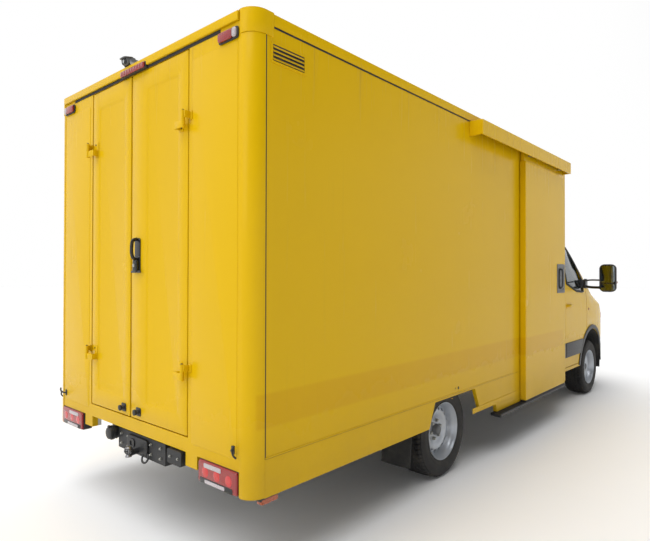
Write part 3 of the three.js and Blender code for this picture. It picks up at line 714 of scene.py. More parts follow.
@dataclass(frozen=True)
class Metal:
    """Painted, plated or bare metal with rust or soot in patches.

    Args:
        name: The material's name.
        colour: Colour of the clean surface.
        stain: Colour of the patches.
        amount: How far the patches spread, from 0 to 1.
        rough: Roughness of the clean surface.
        metallic: How metallic the clean surface is.
        brushed: Stretch of the fine scratches along X, Y and Z.
    """

    name: str
    colour: tuple[float, float, float]
    stain: tuple[float, float, float] = srgb(96, 66, 44)
    amount: float = 0.3
    rough: float = 0.4
    metallic: float = 0.0
    brushed: tuple[float, float, float] = (1.0, 1.0, 1.0)

    def build(self) -> bpy.types.Material:
        """Makes the material."""
        tree = Tree(self.name)
        patch = tree.noise(11.0, 6.0, 0.7)
        fine = tree.noise(160.0, 3.0, 0.6, self.brushed)
        pits = tree.noise(55.0, 4.0, 0.7)
        mask = (patch * 0.7 + pits * 0.3).step(0.66 - self.amount * 0.3, 0.86 - self.amount * 0.3) * min(
            1.0, self.amount * 1.6)
        shade = tree.blend(fine * 0.5, self.colour, tuple(c * 0.72 for c in self.colour))
        colour = tree.blend(mask, shade, self.stain)
        rough = fine * 0.14 + mask * 0.35 + self.rough - 0.05
        bare = (1 - mask) * self.metallic
        return tree.finish(Base_Color=colour, Roughness=rough, Metallic=bare,
                           Normal=tree.bump(pits + fine * 0.4, 0.0006, 0.4))


@dataclass(frozen=True)
class Lens:
    """Moulded lamp plastic with a fluted inside.

    Args:
        name: The material's name.
        colour: Colour that the light takes.
        clear: How much light goes through.
        flutes: Flutes a metre along Z, and half as many along X.
        rough: Roughness of the outside.
    """

    name: str
    colour: tuple[float, float, float]
    clear: float = 0.35
    flutes: float = 120.0
    rough: float = 0.12

    def build(self) -> bpy.types.Material:
        """Makes the material."""
        tree = Tree(self.name)
        x, _, z = tree.axes()
        rows = (z * (self.flutes * 2 * math.pi)).sine() * 0.5 + (x * (self.flutes * math.pi)).sine() * 0.5
        dust = tree.noise(30.0, 4.0).step(0.5, 0.8)
        shade = tree.blend(rows * 0.18 + 0.5, tuple(c * 0.65 for c in self.colour), self.colour)
        colour = tree.blend(dust * 0.12, shade, srgb(120, 105, 90))
        return tree.finish(Base_Color=colour, Roughness=dust * 0.15 + self.rough,
                           Normal=tree.bump(rows, 0.0009, 0.5), Transmission_Weight=self.clear,
                           Coat_Weight=0.6, Coat_Roughness=0.05)


@dataclass(frozen=True)
class Glazing:
    """Tinted safety glass with a light film of dust.

    Args:
        name: The material's name.
        tint: Colour of the light that comes through.
        film: How rough the dusty patches are.
    """

    name: str = "tinted_glass"
    tint: tuple[float, float, float] = (0.16, 0.20, 0.21)
    film: float = 0.10

    def build(self) -> bpy.types.Material:
        """Makes the material."""
        tree = Tree(self.name)
        film = tree.noise(5.0, 5.0, 0.6).step(0.45, 0.85)
        colour = tree.blend(film * 0.15, self.tint, (0.34, 0.36, 0.35))
        wave = tree.noise(9.0, 1.0)
        return tree.finish(Base_Color=colour, Roughness=film * self.film + 0.012, Transmission_Weight=0.92,
                           IOR=1.45, Normal=tree.bump(wave, 0.0004, 0.2))


@dataclass(frozen=True)
class SeatCloth:
    """Woven seat cloth with two yarns, a heather of lighter fibres and a soft nap.

    Args:
        name: The material's name.
        warp: Colour of the upright yarn.
        weft: Colour of the cross yarn.
        pitch: Yarns a metre.
    """

    name: str = "seat_cloth"
    warp: tuple[float, float, float] = srgb(52, 54, 60)
    weft: tuple[float, float, float] = srgb(34, 35, 40)
    pitch: float = 420.0

    def build(self) -> bpy.types.Material:
        """Makes the material: the weave is the product of a sine across X and one along Y plus Z."""
        tree = Tree(self.name)
        x, y, z = tree.axes()
        turn = 2 * math.pi * self.pitch
        weave = (x * turn).sine() * ((y + z) * turn).sine() * 0.5 + 0.5
        fibre = tree.noise(900.0, 2.0, 0.7)
        worn = tree.noise(6.0, 4.0).step(0.45, 0.8)
        cloth = tree.blend(weave, self.warp, self.weft)
        cloth = tree.blend(fibre * 0.25 + worn * 0.12, cloth, srgb(96, 97, 102))
        return tree.finish(Base_Color=cloth, Roughness=fibre * 0.1 + 0.86,
                           Normal=tree.bump(weave + fibre * 0.5, 0.0005, 0.7), Sheen_Weight=0.25)


@dataclass(frozen=True)
class GripFloor:
    """Grey anti-slip floor sheet with raised bars in two directions and trodden-in dirt.

    Args:
        name: The material's name.
        colour: Colour of the sheet.
        pitch: Bars a metre.
    """

    name: str = "floor_sheet"
    colour: tuple[float, float, float] = srgb(122, 122, 118)
    pitch: float = 34.0

    def build(self) -> bpy.types.Material:
        """Makes the material: bars are the sharpened product of sines along the two diagonals."""
        tree = Tree(self.name)
        x, y, _ = tree.axes()
        turn = 2 * math.pi * self.pitch
        bars = ((x + y) * turn).sine() * ((x - y) * turn).sine()
        raised = abs(bars).step(0.35, 0.7)
        dirt = tree.noise(3.5, 5.0, 0.65).step(0.4, 0.8)
        speck = tree.noise(120.0, 2.0)
        colour = tree.blend(dirt * 0.45 + (1 - raised) * 0.18, self.colour, srgb(74, 68, 58))
        return tree.finish(Base_Color=colour, Roughness=dirt * 0.2 + speck * 0.1 + 0.5,
                           Normal=tree.bump(raised + speck * 0.1, 0.0009, 0.6))


@dataclass
class Finishes:
    """Every material of the van, made once."""

    paint: bpy.types.Material = field(init=False)
    paint_all: bpy.types.Material = field(init=False)

    def __post_init__(self) -> None:
        """Builds the materials."""
        self.paint = BodyPaint().build()
        self.paint_all = BodyPaint("yellow_paint_all_round", lining=None).build()
        self.paint_cab = BodyPaint("yellow_paint_cab", lining=None, wells=True).build()
        self.plastic = Moulding("black_plastic", rough=0.42, dust=0.16).build()
        self.gloss_black = Moulding("smooth_black", srgb(16, 17, 19), 0.08, 0.16, 300.0, 0.00005).build()
        self.seal = Moulding("rubber_seal", srgb(20, 20, 21), 0.12, 0.62, 700.0, 0.0001).build()
        self.dash = Moulding("dashboard_grain", srgb(44, 45, 48), 0.10, 0.6, 420.0, 0.0004).build()
        self.grey_plastic = Moulding("grey_plastic", srgb(92, 94, 96), 0.15, 0.38, 380.0, 0.0002).build()
        self.rubber = Moulding("tyre_rubber", srgb(27, 27, 28), 0.30, 0.72, 260.0, 0.0003,
                               srgb(98, 92, 82)).build()
        self.flap = Moulding("mud_flap_rubber", srgb(26, 27, 28), 0.34, 0.66, 240.0, 0.0004).build()
        self.casting = Metal("engine_casting", srgb(118, 120, 121), srgb(60, 50, 40), 0.5, 0.6, 0.2).build()
        self.chassis = Metal("chassis_black", srgb(30, 31, 33), srgb(86, 72, 58), 0.42, 0.5).build()
        self.wheel = Metal("wheel_silver", srgb(178, 183, 190), srgb(84, 72, 62), 0.18, 0.30, 0.55).build()
        self.zinc = Metal("zinc_plate", srgb(168, 168, 162), srgb(110, 84, 54), 0.25, 0.34, 0.85).build()
        self.disc = Metal("brake_disc", srgb(138, 138, 140), srgb(96, 62, 40), 0.35, 0.3, 0.9).build()
        self.exhaust = Metal("exhaust_steel", srgb(146, 140, 130), srgb(92, 60, 40), 0.5, 0.45, 0.8,
                             (1, 0.1, 1)).build()
        self.aluminium = Metal("aluminium_rail", srgb(188, 190, 192), srgb(120, 118, 112), 0.15, 0.3, 0.9,
                               (1, 0.05, 1)).build()
        # Painted reflection: the mirror glass is given a dark colour that stands for the dark scene it reflects.
        self.mirror = Metal("mirror_glass_painted_dark", (0.17, 0.20, 0.22), (0.10, 0.11, 0.12), 0.02, 0.07, 1.0).build()
        self.reflector = Metal("lamp_reflector", (0.86, 0.87, 0.88), (0.6, 0.6, 0.6), 0.05, 0.14, 1.0).build()
        self.red = Lens("red_lens", srgb(168, 4, 10), 0.2).build()
        # Painted highlight: a brighter red for the tail lamps' chambers, standing for the shine of their
        # reflectors.
        self.red_painted_highlight = Lens("red_lens_painted_highlight", srgb(238, 22, 26), 0.25, 160.0).build()
        self.amber = Lens("amber_lens", srgb(206, 92, 26)).build()
        self.clear = Lens("clear_lens", (0.86, 0.88, 0.90), 0.75, 90.0, 0.06).build()
        self.bezel = Lens("frosted_lens", srgb(206, 196, 200), 0.15, 150.0, 0.2).build()
        self.glass = Glazing().build()
        self.cloth = SeatCloth().build()
        self.floor = GripFloor().build()
        self.shelf = Metal("step_plate", srgb(150, 151, 152), srgb(84, 76, 66), 0.4, 0.42, 0.8).build()


def drawn(node: str) -> tuple[Array, Array]:
    """Lowest and highest corner of a CAD node, counted from the drawing's datum."""
    low, high = corners(node)
    return low - DATUM, high - DATUM


class Part:
    """A sub-assembly: something that builds its pieces with the van's finishes."""

    def __init__(self, shop: Finishes) -> None:
        """Keeps the finishes."""
        self.shop = shop

    def build(self) -> None:
        """Makes every piece."""
        raise NotImplementedError


# ------------------------------------------------------------------ flat outlines and steps
def rect(a0: float, a1: float, b0: float, b1: float, radius: float = 0.003, steps: int = 4) -> Array:
    """A rounded rectangle between two values along each of its plane's directions."""
    return rounded_rect(a1 - a0, b1 - b0, radius, steps) + np.array([(a0 + a1) / 2, (b0 + b1) / 2])


def stepped(rows: Sequence[tuple[Array, float]], axis: Axis, closed: bool = False) -> Shell:
    """A stack of outlines with the same number of points, joined one to the next.

    Args:
        rows: Pairs of outline and height along the axis.
        axis: The direction of the heights.
        closed: Whether the last outline joins the first, as in a ring, in place of two end faces.

    Returns:
        The closed shell.
    """
    rows = list(rows) + ([rows[0]] if closed else [])
    stack = np.array([np.column_stack([outline, np.full(len(outline), height)]) for outline, height in rows])
    world = np.empty_like(stack)
    for source, target in enumerate(axis.value):
        world[..., target] = stack[..., source]
    return grid(world, ring=True, caps=not closed)


def band_ring(outer: Array, inner: Array, low: float, high: float, axis: Axis, soft: float = 0.0008) -> Shell:
    """A flat ring between two outlines, its face edges eased by a small chamfer."""
    rows = [(outer, low), (outer, high - soft), (inset(outer, soft), high), (inset(inner, -soft), high),
            (inner, high - soft), (inner, low)]
    return stepped(rows, axis, closed=True)


# ------------------------------------------------------------------ load box
@dataclass
class LoadBox(Part):
    """Walls, roof, skirts and rear portal of the box, with their mouldings and small fittings."""

    shop: Finishes
    half: float = 1.035
    roof: float = 2.720
    seam: float = 2.657
    front: float = 4.385
    post: float = 0.080
    cap_foot: float = 2.609
    cap_reach: float = 0.128

    def build(self) -> None:
        """Makes the skins first, and then what is fixed to them."""
        for node in ("left_side_wall", "right_side_wall", "box_roof", "rear_frame", "box_front_wall"):
            refined(node, self.shop.paint, 0.002)
        for node in ("left_skirt", "right_skirt"):
            refined(node, self.shop.paint_all, 0.002)
        refined("load_floor", self.shop.floor, 0.0015)
        self.make_corners()
        self.make_rails()
        self.make_rear_plates()
        self.make_roof_sheet()
        self.make_louvre()
        self.make_small_fittings()
        self.make_lining()

    def corner_plan(self, proud: float, back: float, reach: float) -> Array:
        """Plan of a strip round the rear right corner.

        Args:
            proud: How far it stands off the body.
            back: How far its inner face is sunk.
            reach: Where it ends along the side.

        Returns:
            The outline: a quarter circle and two straights, out along one face and back along the other.
        """
        turn = np.radians(np.linspace(-90, 0, 13))
        ray = np.column_stack([np.cos(turn), np.sin(turn)])
        centre = np.array([self.half - self.post, self.post])
        outer = centre + ray * (self.post + proud)
        inner = centre + ray * (self.post - back)
        outer = np.vstack([[centre[0] - 0.002, -proud], outer, [self.half + proud, reach]])
        inner = np.vstack([[centre[0] - 0.002, back], inner, [self.half - back, reach]])
        return np.vstack([outer, inner[::-1]])

    def make_corners(self) -> None:
        """A rolled cover up each rear corner, a moulded cap over it, and a small fitting on the cap."""
        cover = slab(self.corner_plan(0.0028, 0.0005, self.post - 0.001), 0.458, self.cap_foot - 0.0015,
                     0.001,
                     Axis.Z, 2)
        wrap = slab(self.corner_plan(0.0060, 0.0005, self.cap_reach), self.cap_foot, self.roof + 0.0035,
                    0.003,
                    Axis.Z, 3)
        plan = self.corner_plan(0.0060, 0.0005, self.cap_reach)[:15]
        top = slab(np.vstack([plan, [[0.93, self.cap_reach], [0.93, 0.0]]]), self.roof + 0.0002,
                   self.roof + 0.0040, 0.0015, Axis.Z, 2)
        make("rear_corner_covers", cover.both(), self.shop.paint_all)
        make("rear_corner_caps", (wrap + top).both(), self.shop.paint_all)
        stub = revolved([(0, 0), (0, 0.013), (0.008, 0.012), (0.016, 0.008), (0.018, 0)], 18, 2)
        make("corner_cap_lights", stub.moved(0.985, 0.052, self.roof + 0.0042).both(), self.shop.bezel)

    def make_rails(self) -> None:
        """Roof rails along both sides and over the doors; a dark seam strip under each side rail, and under the
        rail over the doors a dark strip that is a painted shadow line.
        """
        side = slab(rect(self.half + 0.0002, self.half + 0.0046, self.seam + 0.006, self.roof - 0.001, 0.002),
                    self.cap_reach + 0.002, self.front, 0.001, Axis.Y)
        groove = slab(rect(self.half + 0.0002, self.half + 0.0014, self.seam - 0.004, self.seam + 0.006,
                           0.0005),
                      self.cap_reach + 0.001, self.front, 0.0004, Axis.Y, 1)
        over = slab(rect(-0.0150, -0.0002, 2.6735, 2.7180, 0.004), -0.945, 0.945, 0.002, Axis.X)
        # Painted shadow: the dark strip under the rail over the doors stands for the shadow gap there.
        door_shadow_line = slab(rect(-0.0030, -0.0002, 2.6560, 2.6735, 0.001), -0.800, 0.800, 0.0008, Axis.X, 1)
        make("roof_rails", side.both() + over, self.shop.paint_all)
        foot = drawn("right_skirt")[1][2]
        post = slab(rect(self.half - 0.0010, self.half + 0.0013, self.post, self.post + 0.008, 0.0005), foot,
                    self.cap_foot, 0.0004, Axis.Z, 1)
        sill = slab(rect(self.half + 0.0001, self.half + 0.0013, foot, foot + 0.007, 0.0004),
                    self.post + 0.008,
                    3.100, 0.0004, Axis.Y, 1)
        make("wall_seams", (post + sill).both(), self.shop.seal)
        make("rail_seams_and_painted_shadow_line", groove.both() + door_shadow_line, self.shop.seal)
        nose = slab(rect(-0.90, 0.90, self.seam + 0.006, self.roof - 0.001, 0.006), 4.4652, 4.4690, 0.0012,
                    Axis.Y)
        rivets = hex_heads(np.array([(x, 4.4692, 2.69) for x in np.linspace(-0.85, 0.85, 14)]), 0.006,
                           0.003, 1)
        make("front_roof_rail", nose, self.shop.paint_all)
        make("front_rail_rivets", rivets, self.shop.zinc)

    def make_rear_plates(self) -> None:
        """Pressed plates on the fixed panels beside the leaves, with a soft step round them."""
        outline = rect(0.572, 0.934, 0.625, 2.588, 0.012)
        plate = stepped([(outline, -0.0002), (inset(outline, 0.0012), -0.0016),
                         (inset(outline, 0.006), -0.0026)],
                        Axis.Y)
        left = rect(-0.934, -0.572, 0.625, 2.588, 0.012)
        twin = stepped([(left, -0.0002), (inset(left, 0.0012), -0.0016), (inset(left, 0.006), -0.0026)],
                       Axis.Y)
        make("rear_fixed_plates", plate + twin, self.shop.paint_all)
        hook = tube(smooth_path([(0.906, -0.004, 0.668), (0.918, -0.020, 0.672), (0.936, -0.030, 0.684),
                                 (0.946, -0.026, 0.700)], 14), 0.0055, 8)
        leg = tube(smooth_path([(0.930, -0.028, 0.680), (0.938, -0.026, 0.656), (0.944, -0.014, 0.640)], 10),
                   0.0045, 8)
        foot = block((0.898, -0.0055, 0.650), (0.922, -0.0027, 0.690), 0.0015, Axis.Y, 0.006)
        keeper = hook + leg + foot
        make("door_keepers", keeper.both(), self.shop.plastic)

    def make_roof_sheet(self) -> None:
        """A crowned sheet on the roof: the roof height plus a parabola across it, with low bows along it."""
        x = np.linspace(-0.955, 0.955, 41)
        y = np.linspace(0.135, 4.375, 121)
        gx, gy = np.meshgrid(x, y)
        crown = 0.011 * (1 - (gx / 0.955) ** 4)
        bows = 0.0022 * np.exp(-((np.mod(gy - 0.135 + 0.265, 0.53) - 0.265) / 0.018) ** 2)
        edge = np.clip((0.955 - np.abs(gx)) / 0.05, 0, 1) * np.clip((gy - 0.135) / 0.05, 0, 1) * np.clip(
            (4.375 - gy) / 0.05, 0, 1)
        top = np.stack([gx, gy, self.roof + 0.0012 + (crown + bows) * edge], axis=-1)
        under = top.copy()
        under[..., 2] = self.roof + 0.0003
        around = np.concatenate([top[0], top[1:, -1], top[-1, -2::-1], top[-2:0:-1, 0]])
        below = around.copy()
        below[:, 2] = self.roof + 0.0003
        rim = grid(np.stack([around, below]), ring=True)
        make("roof_sheet", grid(top) + grid(under) + rim, self.shop.paint_all)

    def make_louvre(self) -> None:
        """A vent high on the right side near the rear: a pressed frame with four hooded slots, and behind them a
        dark sheet that is painted shade for the openings.
        """
        y0, y1, z0, z1 = 0.113, 0.352, 2.490, 2.589
        ring = band_ring(rect(y0, y1, z0, z1, 0.006),
                         rect(y0 + 0.012, y1 - 0.012, z0 + 0.010, z1 - 0.010, 0.004),
                         self.half + 0.0002, self.half + 0.0040, Axis.X)
        # A dark sheet behind the blades: painted shade in the slots.
        back = slab(rect(y0 + 0.008, y1 - 0.008, z0 + 0.006, z1 - 0.006, 0.004), self.half + 0.0002,
                    self.half + 0.0010, 0.0003, Axis.X, 1)
        hood = np.array([(0.0, 0.0115), (0.0052, 0.0020), (0.0060, 0.0), (0.0046, 0.0), (0.0, 0.0080)])[::-1]
        outline = hood + np.array([self.half + 0.0008, 0.0])
        blade = stepped([(outline, y0 + 0.014), (outline, y1 - 0.014)], Axis.Y)
        blades = blade.repeated(np.array([(0, 0, z0 + 0.013 + 0.0195 * k) for k in range(4)]))
        make("vent_frame", ring + blades, self.shop.paint_all)
        make("vent_painted_shade_sheet", back, self.shop.seal)

    def make_small_fittings(self) -> None:
        """Side marker lamps under the skirts, drain plugs, and screw heads along the skirt seams."""
        lamp = block((1.000, 0.063, 0.4215), (1.034, 0.171, 0.4480), 0.004, Axis.X, 0.008)
        base = block((0.996, 0.058, 0.4385), (1.0330, 0.176, 0.4545), 0.002, Axis.X, 0.004)
        make("side_marker_lamps", lamp.both(), self.shop.amber)
        make("side_marker_bases", base.both(), self.shop.plastic)
        plug = bowl((self.half + 0.0003, 1.976, 0.665), (0.0035, 0.011), 0)
        # Painted shade: the small dark dot beside each plug stands for a recess.
        painted_recess_dot = bowl((self.half + 0.0003, 1.930, 0.668), (0.0025, 0.006), 0)
        make("wall_plugs_and_painted_recesses", (plug + painted_recess_dot).both(), self.shop.seal)
        seam = slab(rect(self.half + 0.0002, self.half + 0.0030, 0.6315, 0.6390, 0.001), 0.084, 3.118, 0.0006,
                    Axis.Y, 1)
        twin = slab(rect(-self.half - 0.0030, -self.half - 0.0002, 0.6315, 0.6390, 0.001), 0.084, 4.380,
                    0.0006,
                    Axis.Y, 1)
        make("skirt_seam_beads", seam + twin, self.shop.paint_all)
        along = np.arange(0.20, 3.0, 0.28)
        heads = hex_heads(np.array([(self.half + 0.0001, y, 0.604) for y in along]), 0.0055, 0.0022, 0)
        make("skirt_screws", heads.both(), self.shop.paint_all)

    def make_lining(self) -> None:
        """Inside: two slotted lashing rails a side, their slots dark blocks that are painted shade, a lamp strip
        along the roof, edge trims at the floor.
        """
        inner = self.half - 0.040
        rails = []
        for height in (1.05, 1.75):
            plate = slab(rect(inner - 0.0145, inner - 0.0005, height, height + 0.10, 0.003), 0.12, 3.16,
                         0.001,
                         Axis.Y)
            rails.append(plate.mirrored() + plate)
        make("lashing_rails", total(rails), self.shop.aluminium)
        # Each slot is a dark block on the rail's face: painted shade for the hole.
        spots = np.array([(inner - 0.0146, y, z) for z in (1.10, 1.80) for y in np.arange(0.2, 3.1, 0.12)])
        slots = block((-0.0012, -0.022, -0.007), (0.0, 0.022, 0.007), 0.0004, Axis.X, 0.006,
                      2).repeated(spots)
        make("lashing_slots_painted_shade", slots.both(), self.shop.seal)
        strip = block((-0.035, 0.35, 2.6590), (0.035, 4.05, 2.6795), 0.006, Axis.Z, 0.02)
        make("load_lamp_strip", strip, self.shop.bezel)
        edge = slab(rect(-0.0015, 0.062, 0.6503, 0.6545, 0.001).copy() + np.array([0.084, 0]), -0.94, 0.94,
                    0.001, Axis.X, 1)
        make("floor_edge_trim", edge, self.shop.shelf)
        tread = block((0.735, 3.215, 0.3853), (0.990, 4.130, 0.3890), 0.001, Axis.Z, 0.01)
        make("step_tread", tread, self.shop.shelf)


# ------------------------------------------------------------------ rear doors
@dataclass
class RearDoors(Part):
    """Two leaves with pressed panels, their hinges, seals, retainers and the handle."""

    shop: Finishes
    low: float = 0.656
    high: float = 2.652
    hinge_x: float = 0.535
    hinge_y: float = -0.034
    hinge_rows: tuple[tuple[float, float], ...] = ((0.945, 1.030), (2.240, 2.330))

    def build(self) -> None:
        """Makes each leaf and what it carries."""
        self.make_leaf("rear_door_left", (-0.531, -0.049), (-0.449, -0.118))
        self.make_leaf("rear_door_right", (-0.033, 0.531), (0.128, 0.449))
        for side, body in ((1, "rear_door_right"), (-1, "rear_door_left")):
            self.make_hinges(side, body)
            self.make_seal(side, body)
        self.make_handle()
        self.make_retainers()

    def make_leaf(self, node: str, span: tuple[float, float], panel: tuple[float, float]) -> None:
        """A leaf whose panel is pressed in by a few millimetres with sloping sides.

        Args:
            node: The CAD leaf it stands for.
            span: Its left and right edges.
            panel: The left and right edges of its pressed panel.
        """
        edge = rect(*span, self.low, self.high, 0.006)
        field_ = rect(*panel, 0.755, 2.547, 0.022)
        rows = [(inset(edge, 0.002), 0.040), (edge, 0.038), (edge, 0.003), (inset(edge, 0.0009), 0.0009),
                (inset(edge, 0.003), 0.0), (inset(field_, -0.002), 0.0), (field_, 0.0007),
                (inset(field_, 0.010), 0.0042), (inset(field_, 0.0125), 0.0048)]
        leaf = make(node + "_leaf", stepped(rows, Axis.Y), self.shop.paint, node, 25.0)
        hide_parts(node)

    def make_hinges(self, side: int, body: str) -> None:
        """Barrels with pin heads on the hinge line, strap plates and their bolts."""
        parts, pins, bolts = [], [], []
        for low, high in self.hinge_rows:
            mid = (low + high) / 2
            profile = [(low, 0.0), (low, 0.0085), (low + 0.002, 0.0108), (mid - 0.0022, 0.0108),
                       (mid - 0.0010, 0.0098), (mid + 0.0010, 0.0098), (mid + 0.0022, 0.0108),
                       (high - 0.002, 0.0108), (high, 0.0085), (high, 0.0)]
            barrel = revolved(profile, 20, 2).moved(self.hinge_x, self.hinge_y)
            strap = block((0.470, self.hinge_y - 0.0035, low + 0.003),
                          (self.hinge_x - 0.004, self.hinge_y + 0.0035,
                                                                       mid - 0.004), 0.002, Axis.Y, 0.004)
            riser = block((0.457, self.hinge_y - 0.0035, low + 0.003), (0.474, -0.0002, mid - 0.004), 0.002,
                          Axis.Z, 0.003)
            flange = block((0.452, -0.0045, low - 0.004), (0.492, -0.0002, high + 0.004), 0.0015, Axis.Y,
                           0.005)
            parts += [barrel, strap, riser, flange]
            pins.append(revolved([(high, 0), (high, 0.0065), (high + 0.0035, 0.006), (high + 0.005, 0.003),
                                  (high + 0.005, 0)], 16, 2).moved(self.hinge_x, self.hinge_y))
            bolts.append(hex_heads(np.array([(0.4815, -0.0046, low + 0.012),
                                             (0.4815, -0.0046, high - 0.012)]),
                                   0.0065, 0.0045, 1, -1))
        make(f"{body}_hinges", on_side(total(parts), side), self.shop.paint_all, body)
        make(f"{body}_hinge_pins", on_side(total(pins + bolts), side), self.shop.seal, body)
        brackets = []
        for low, high in self.hinge_rows:
            arm = block((self.hinge_x + 0.0125, self.hinge_y - 0.004, low + 0.050),
                        (0.556, -0.0002, high - 0.003),
                        0.002, Axis.Z, 0.003)
            foot = block((0.5465, -0.0048, low + 0.042), (0.5700, -0.0002, high + 0.001), 0.0015, Axis.Y,
                         0.004)
            brackets += [arm, foot]
        make(f"{body}_hinge_posts", on_side(total(brackets), side), self.shop.paint_all, "root")

    def make_seal(self, side: int, body: str) -> None:
        """A rubber bead round the inner face of a leaf."""
        left, right = (-0.033, 0.531) if side > 0 else (-0.531, -0.049)
        outer = rect(left + 0.008, right - 0.008, self.low + 0.008, self.high - 0.008, 0.02)
        bead = band_ring(outer, inset(outer, 0.014), 0.0402, 0.0475, Axis.Y, 0.002)
        make(f"{body}_seal", bead, self.shop.seal, body)

    def make_handle(self) -> None:
        """A black pull loop over a lock body, with a key barrel and four screws."""
        base = block((0.008, -0.0060, 1.500), (0.068, -0.0002, 1.697), 0.0025, Axis.Y, 0.014, 3)
        body = block((0.016, -0.0260, 1.500), (0.060, -0.0040, 1.572), 0.006, Axis.Y, 0.010, 3)
        loop = tube(smooth_path([(0.038, -0.004, 1.572), (0.038, -0.028, 1.580), (0.038, -0.0395, 1.606),
                                 (0.038, -0.0405, 1.650), (0.038, -0.033, 1.682), (0.038, -0.006, 1.692)],
                                 34),
                    0.0085, 14, (1, 0, 0), np.array([(math.cos(t) * 1.2, math.sin(t) * 0.85)
                                                    for t in np.linspace(0, 2 * math.pi, 16,
                                                                         endpoint=False)]))
        latch = block((-0.010, -0.0200, 1.497), (0.097, -0.0130, 1.511), 0.003, Axis.Y, 0.006)
        stem = block((0.028, -0.0150, 1.500), (0.048, -0.0060, 1.512), 0.002)
        barrel = revolved([(0, 0), (0, 0.0105), (0.004, 0.010), (0.0045, 0)], 22, 1).turned(2, 180)
        screws = hex_heads(np.array([(x, -0.0061, z) for x in (0.016, 0.060) for z in (1.590, 1.688)]), 0.004,
                           0.002, 1, -1)
        handle = make("rear_handle", base + body + loop + latch + stem, self.shop.gloss_black,
                      "rear_door_right")
        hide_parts("rear_door_handle")
        make("rear_handle_lock", barrel.moved(0.038, -0.0262, 1.540) + screws, self.shop.zinc,
             "rear_door_right")

    def make_retainers(self) -> None:
        """A black rubber retainer low on each leaf: a clawed plug on a plate."""
        for x, body in ((-0.114, "rear_door_left"), (0.053, "rear_door_right")):
            plate = block((x - 0.026, -0.0050, 0.676), (x + 0.026, -0.0002, 0.724), 0.002, Axis.Y, 0.008)
            neck = revolved([(0, 0), (0, 0.014), (0.012, 0.011), (0.018, 0.017), (0.026, 0.017),
                             (0.030, 0.009),
                             (0.030, 0)], 18, 1).turned(2, 180).moved(x, -0.0045, 0.700)
            ears = block((x - 0.024, -0.0190, 0.692), (x + 0.024, -0.0110, 0.708), 0.003, Axis.Y, 0.006)
            make(f"{body}_retainer", plate + neck + ears, self.shop.plastic, body)


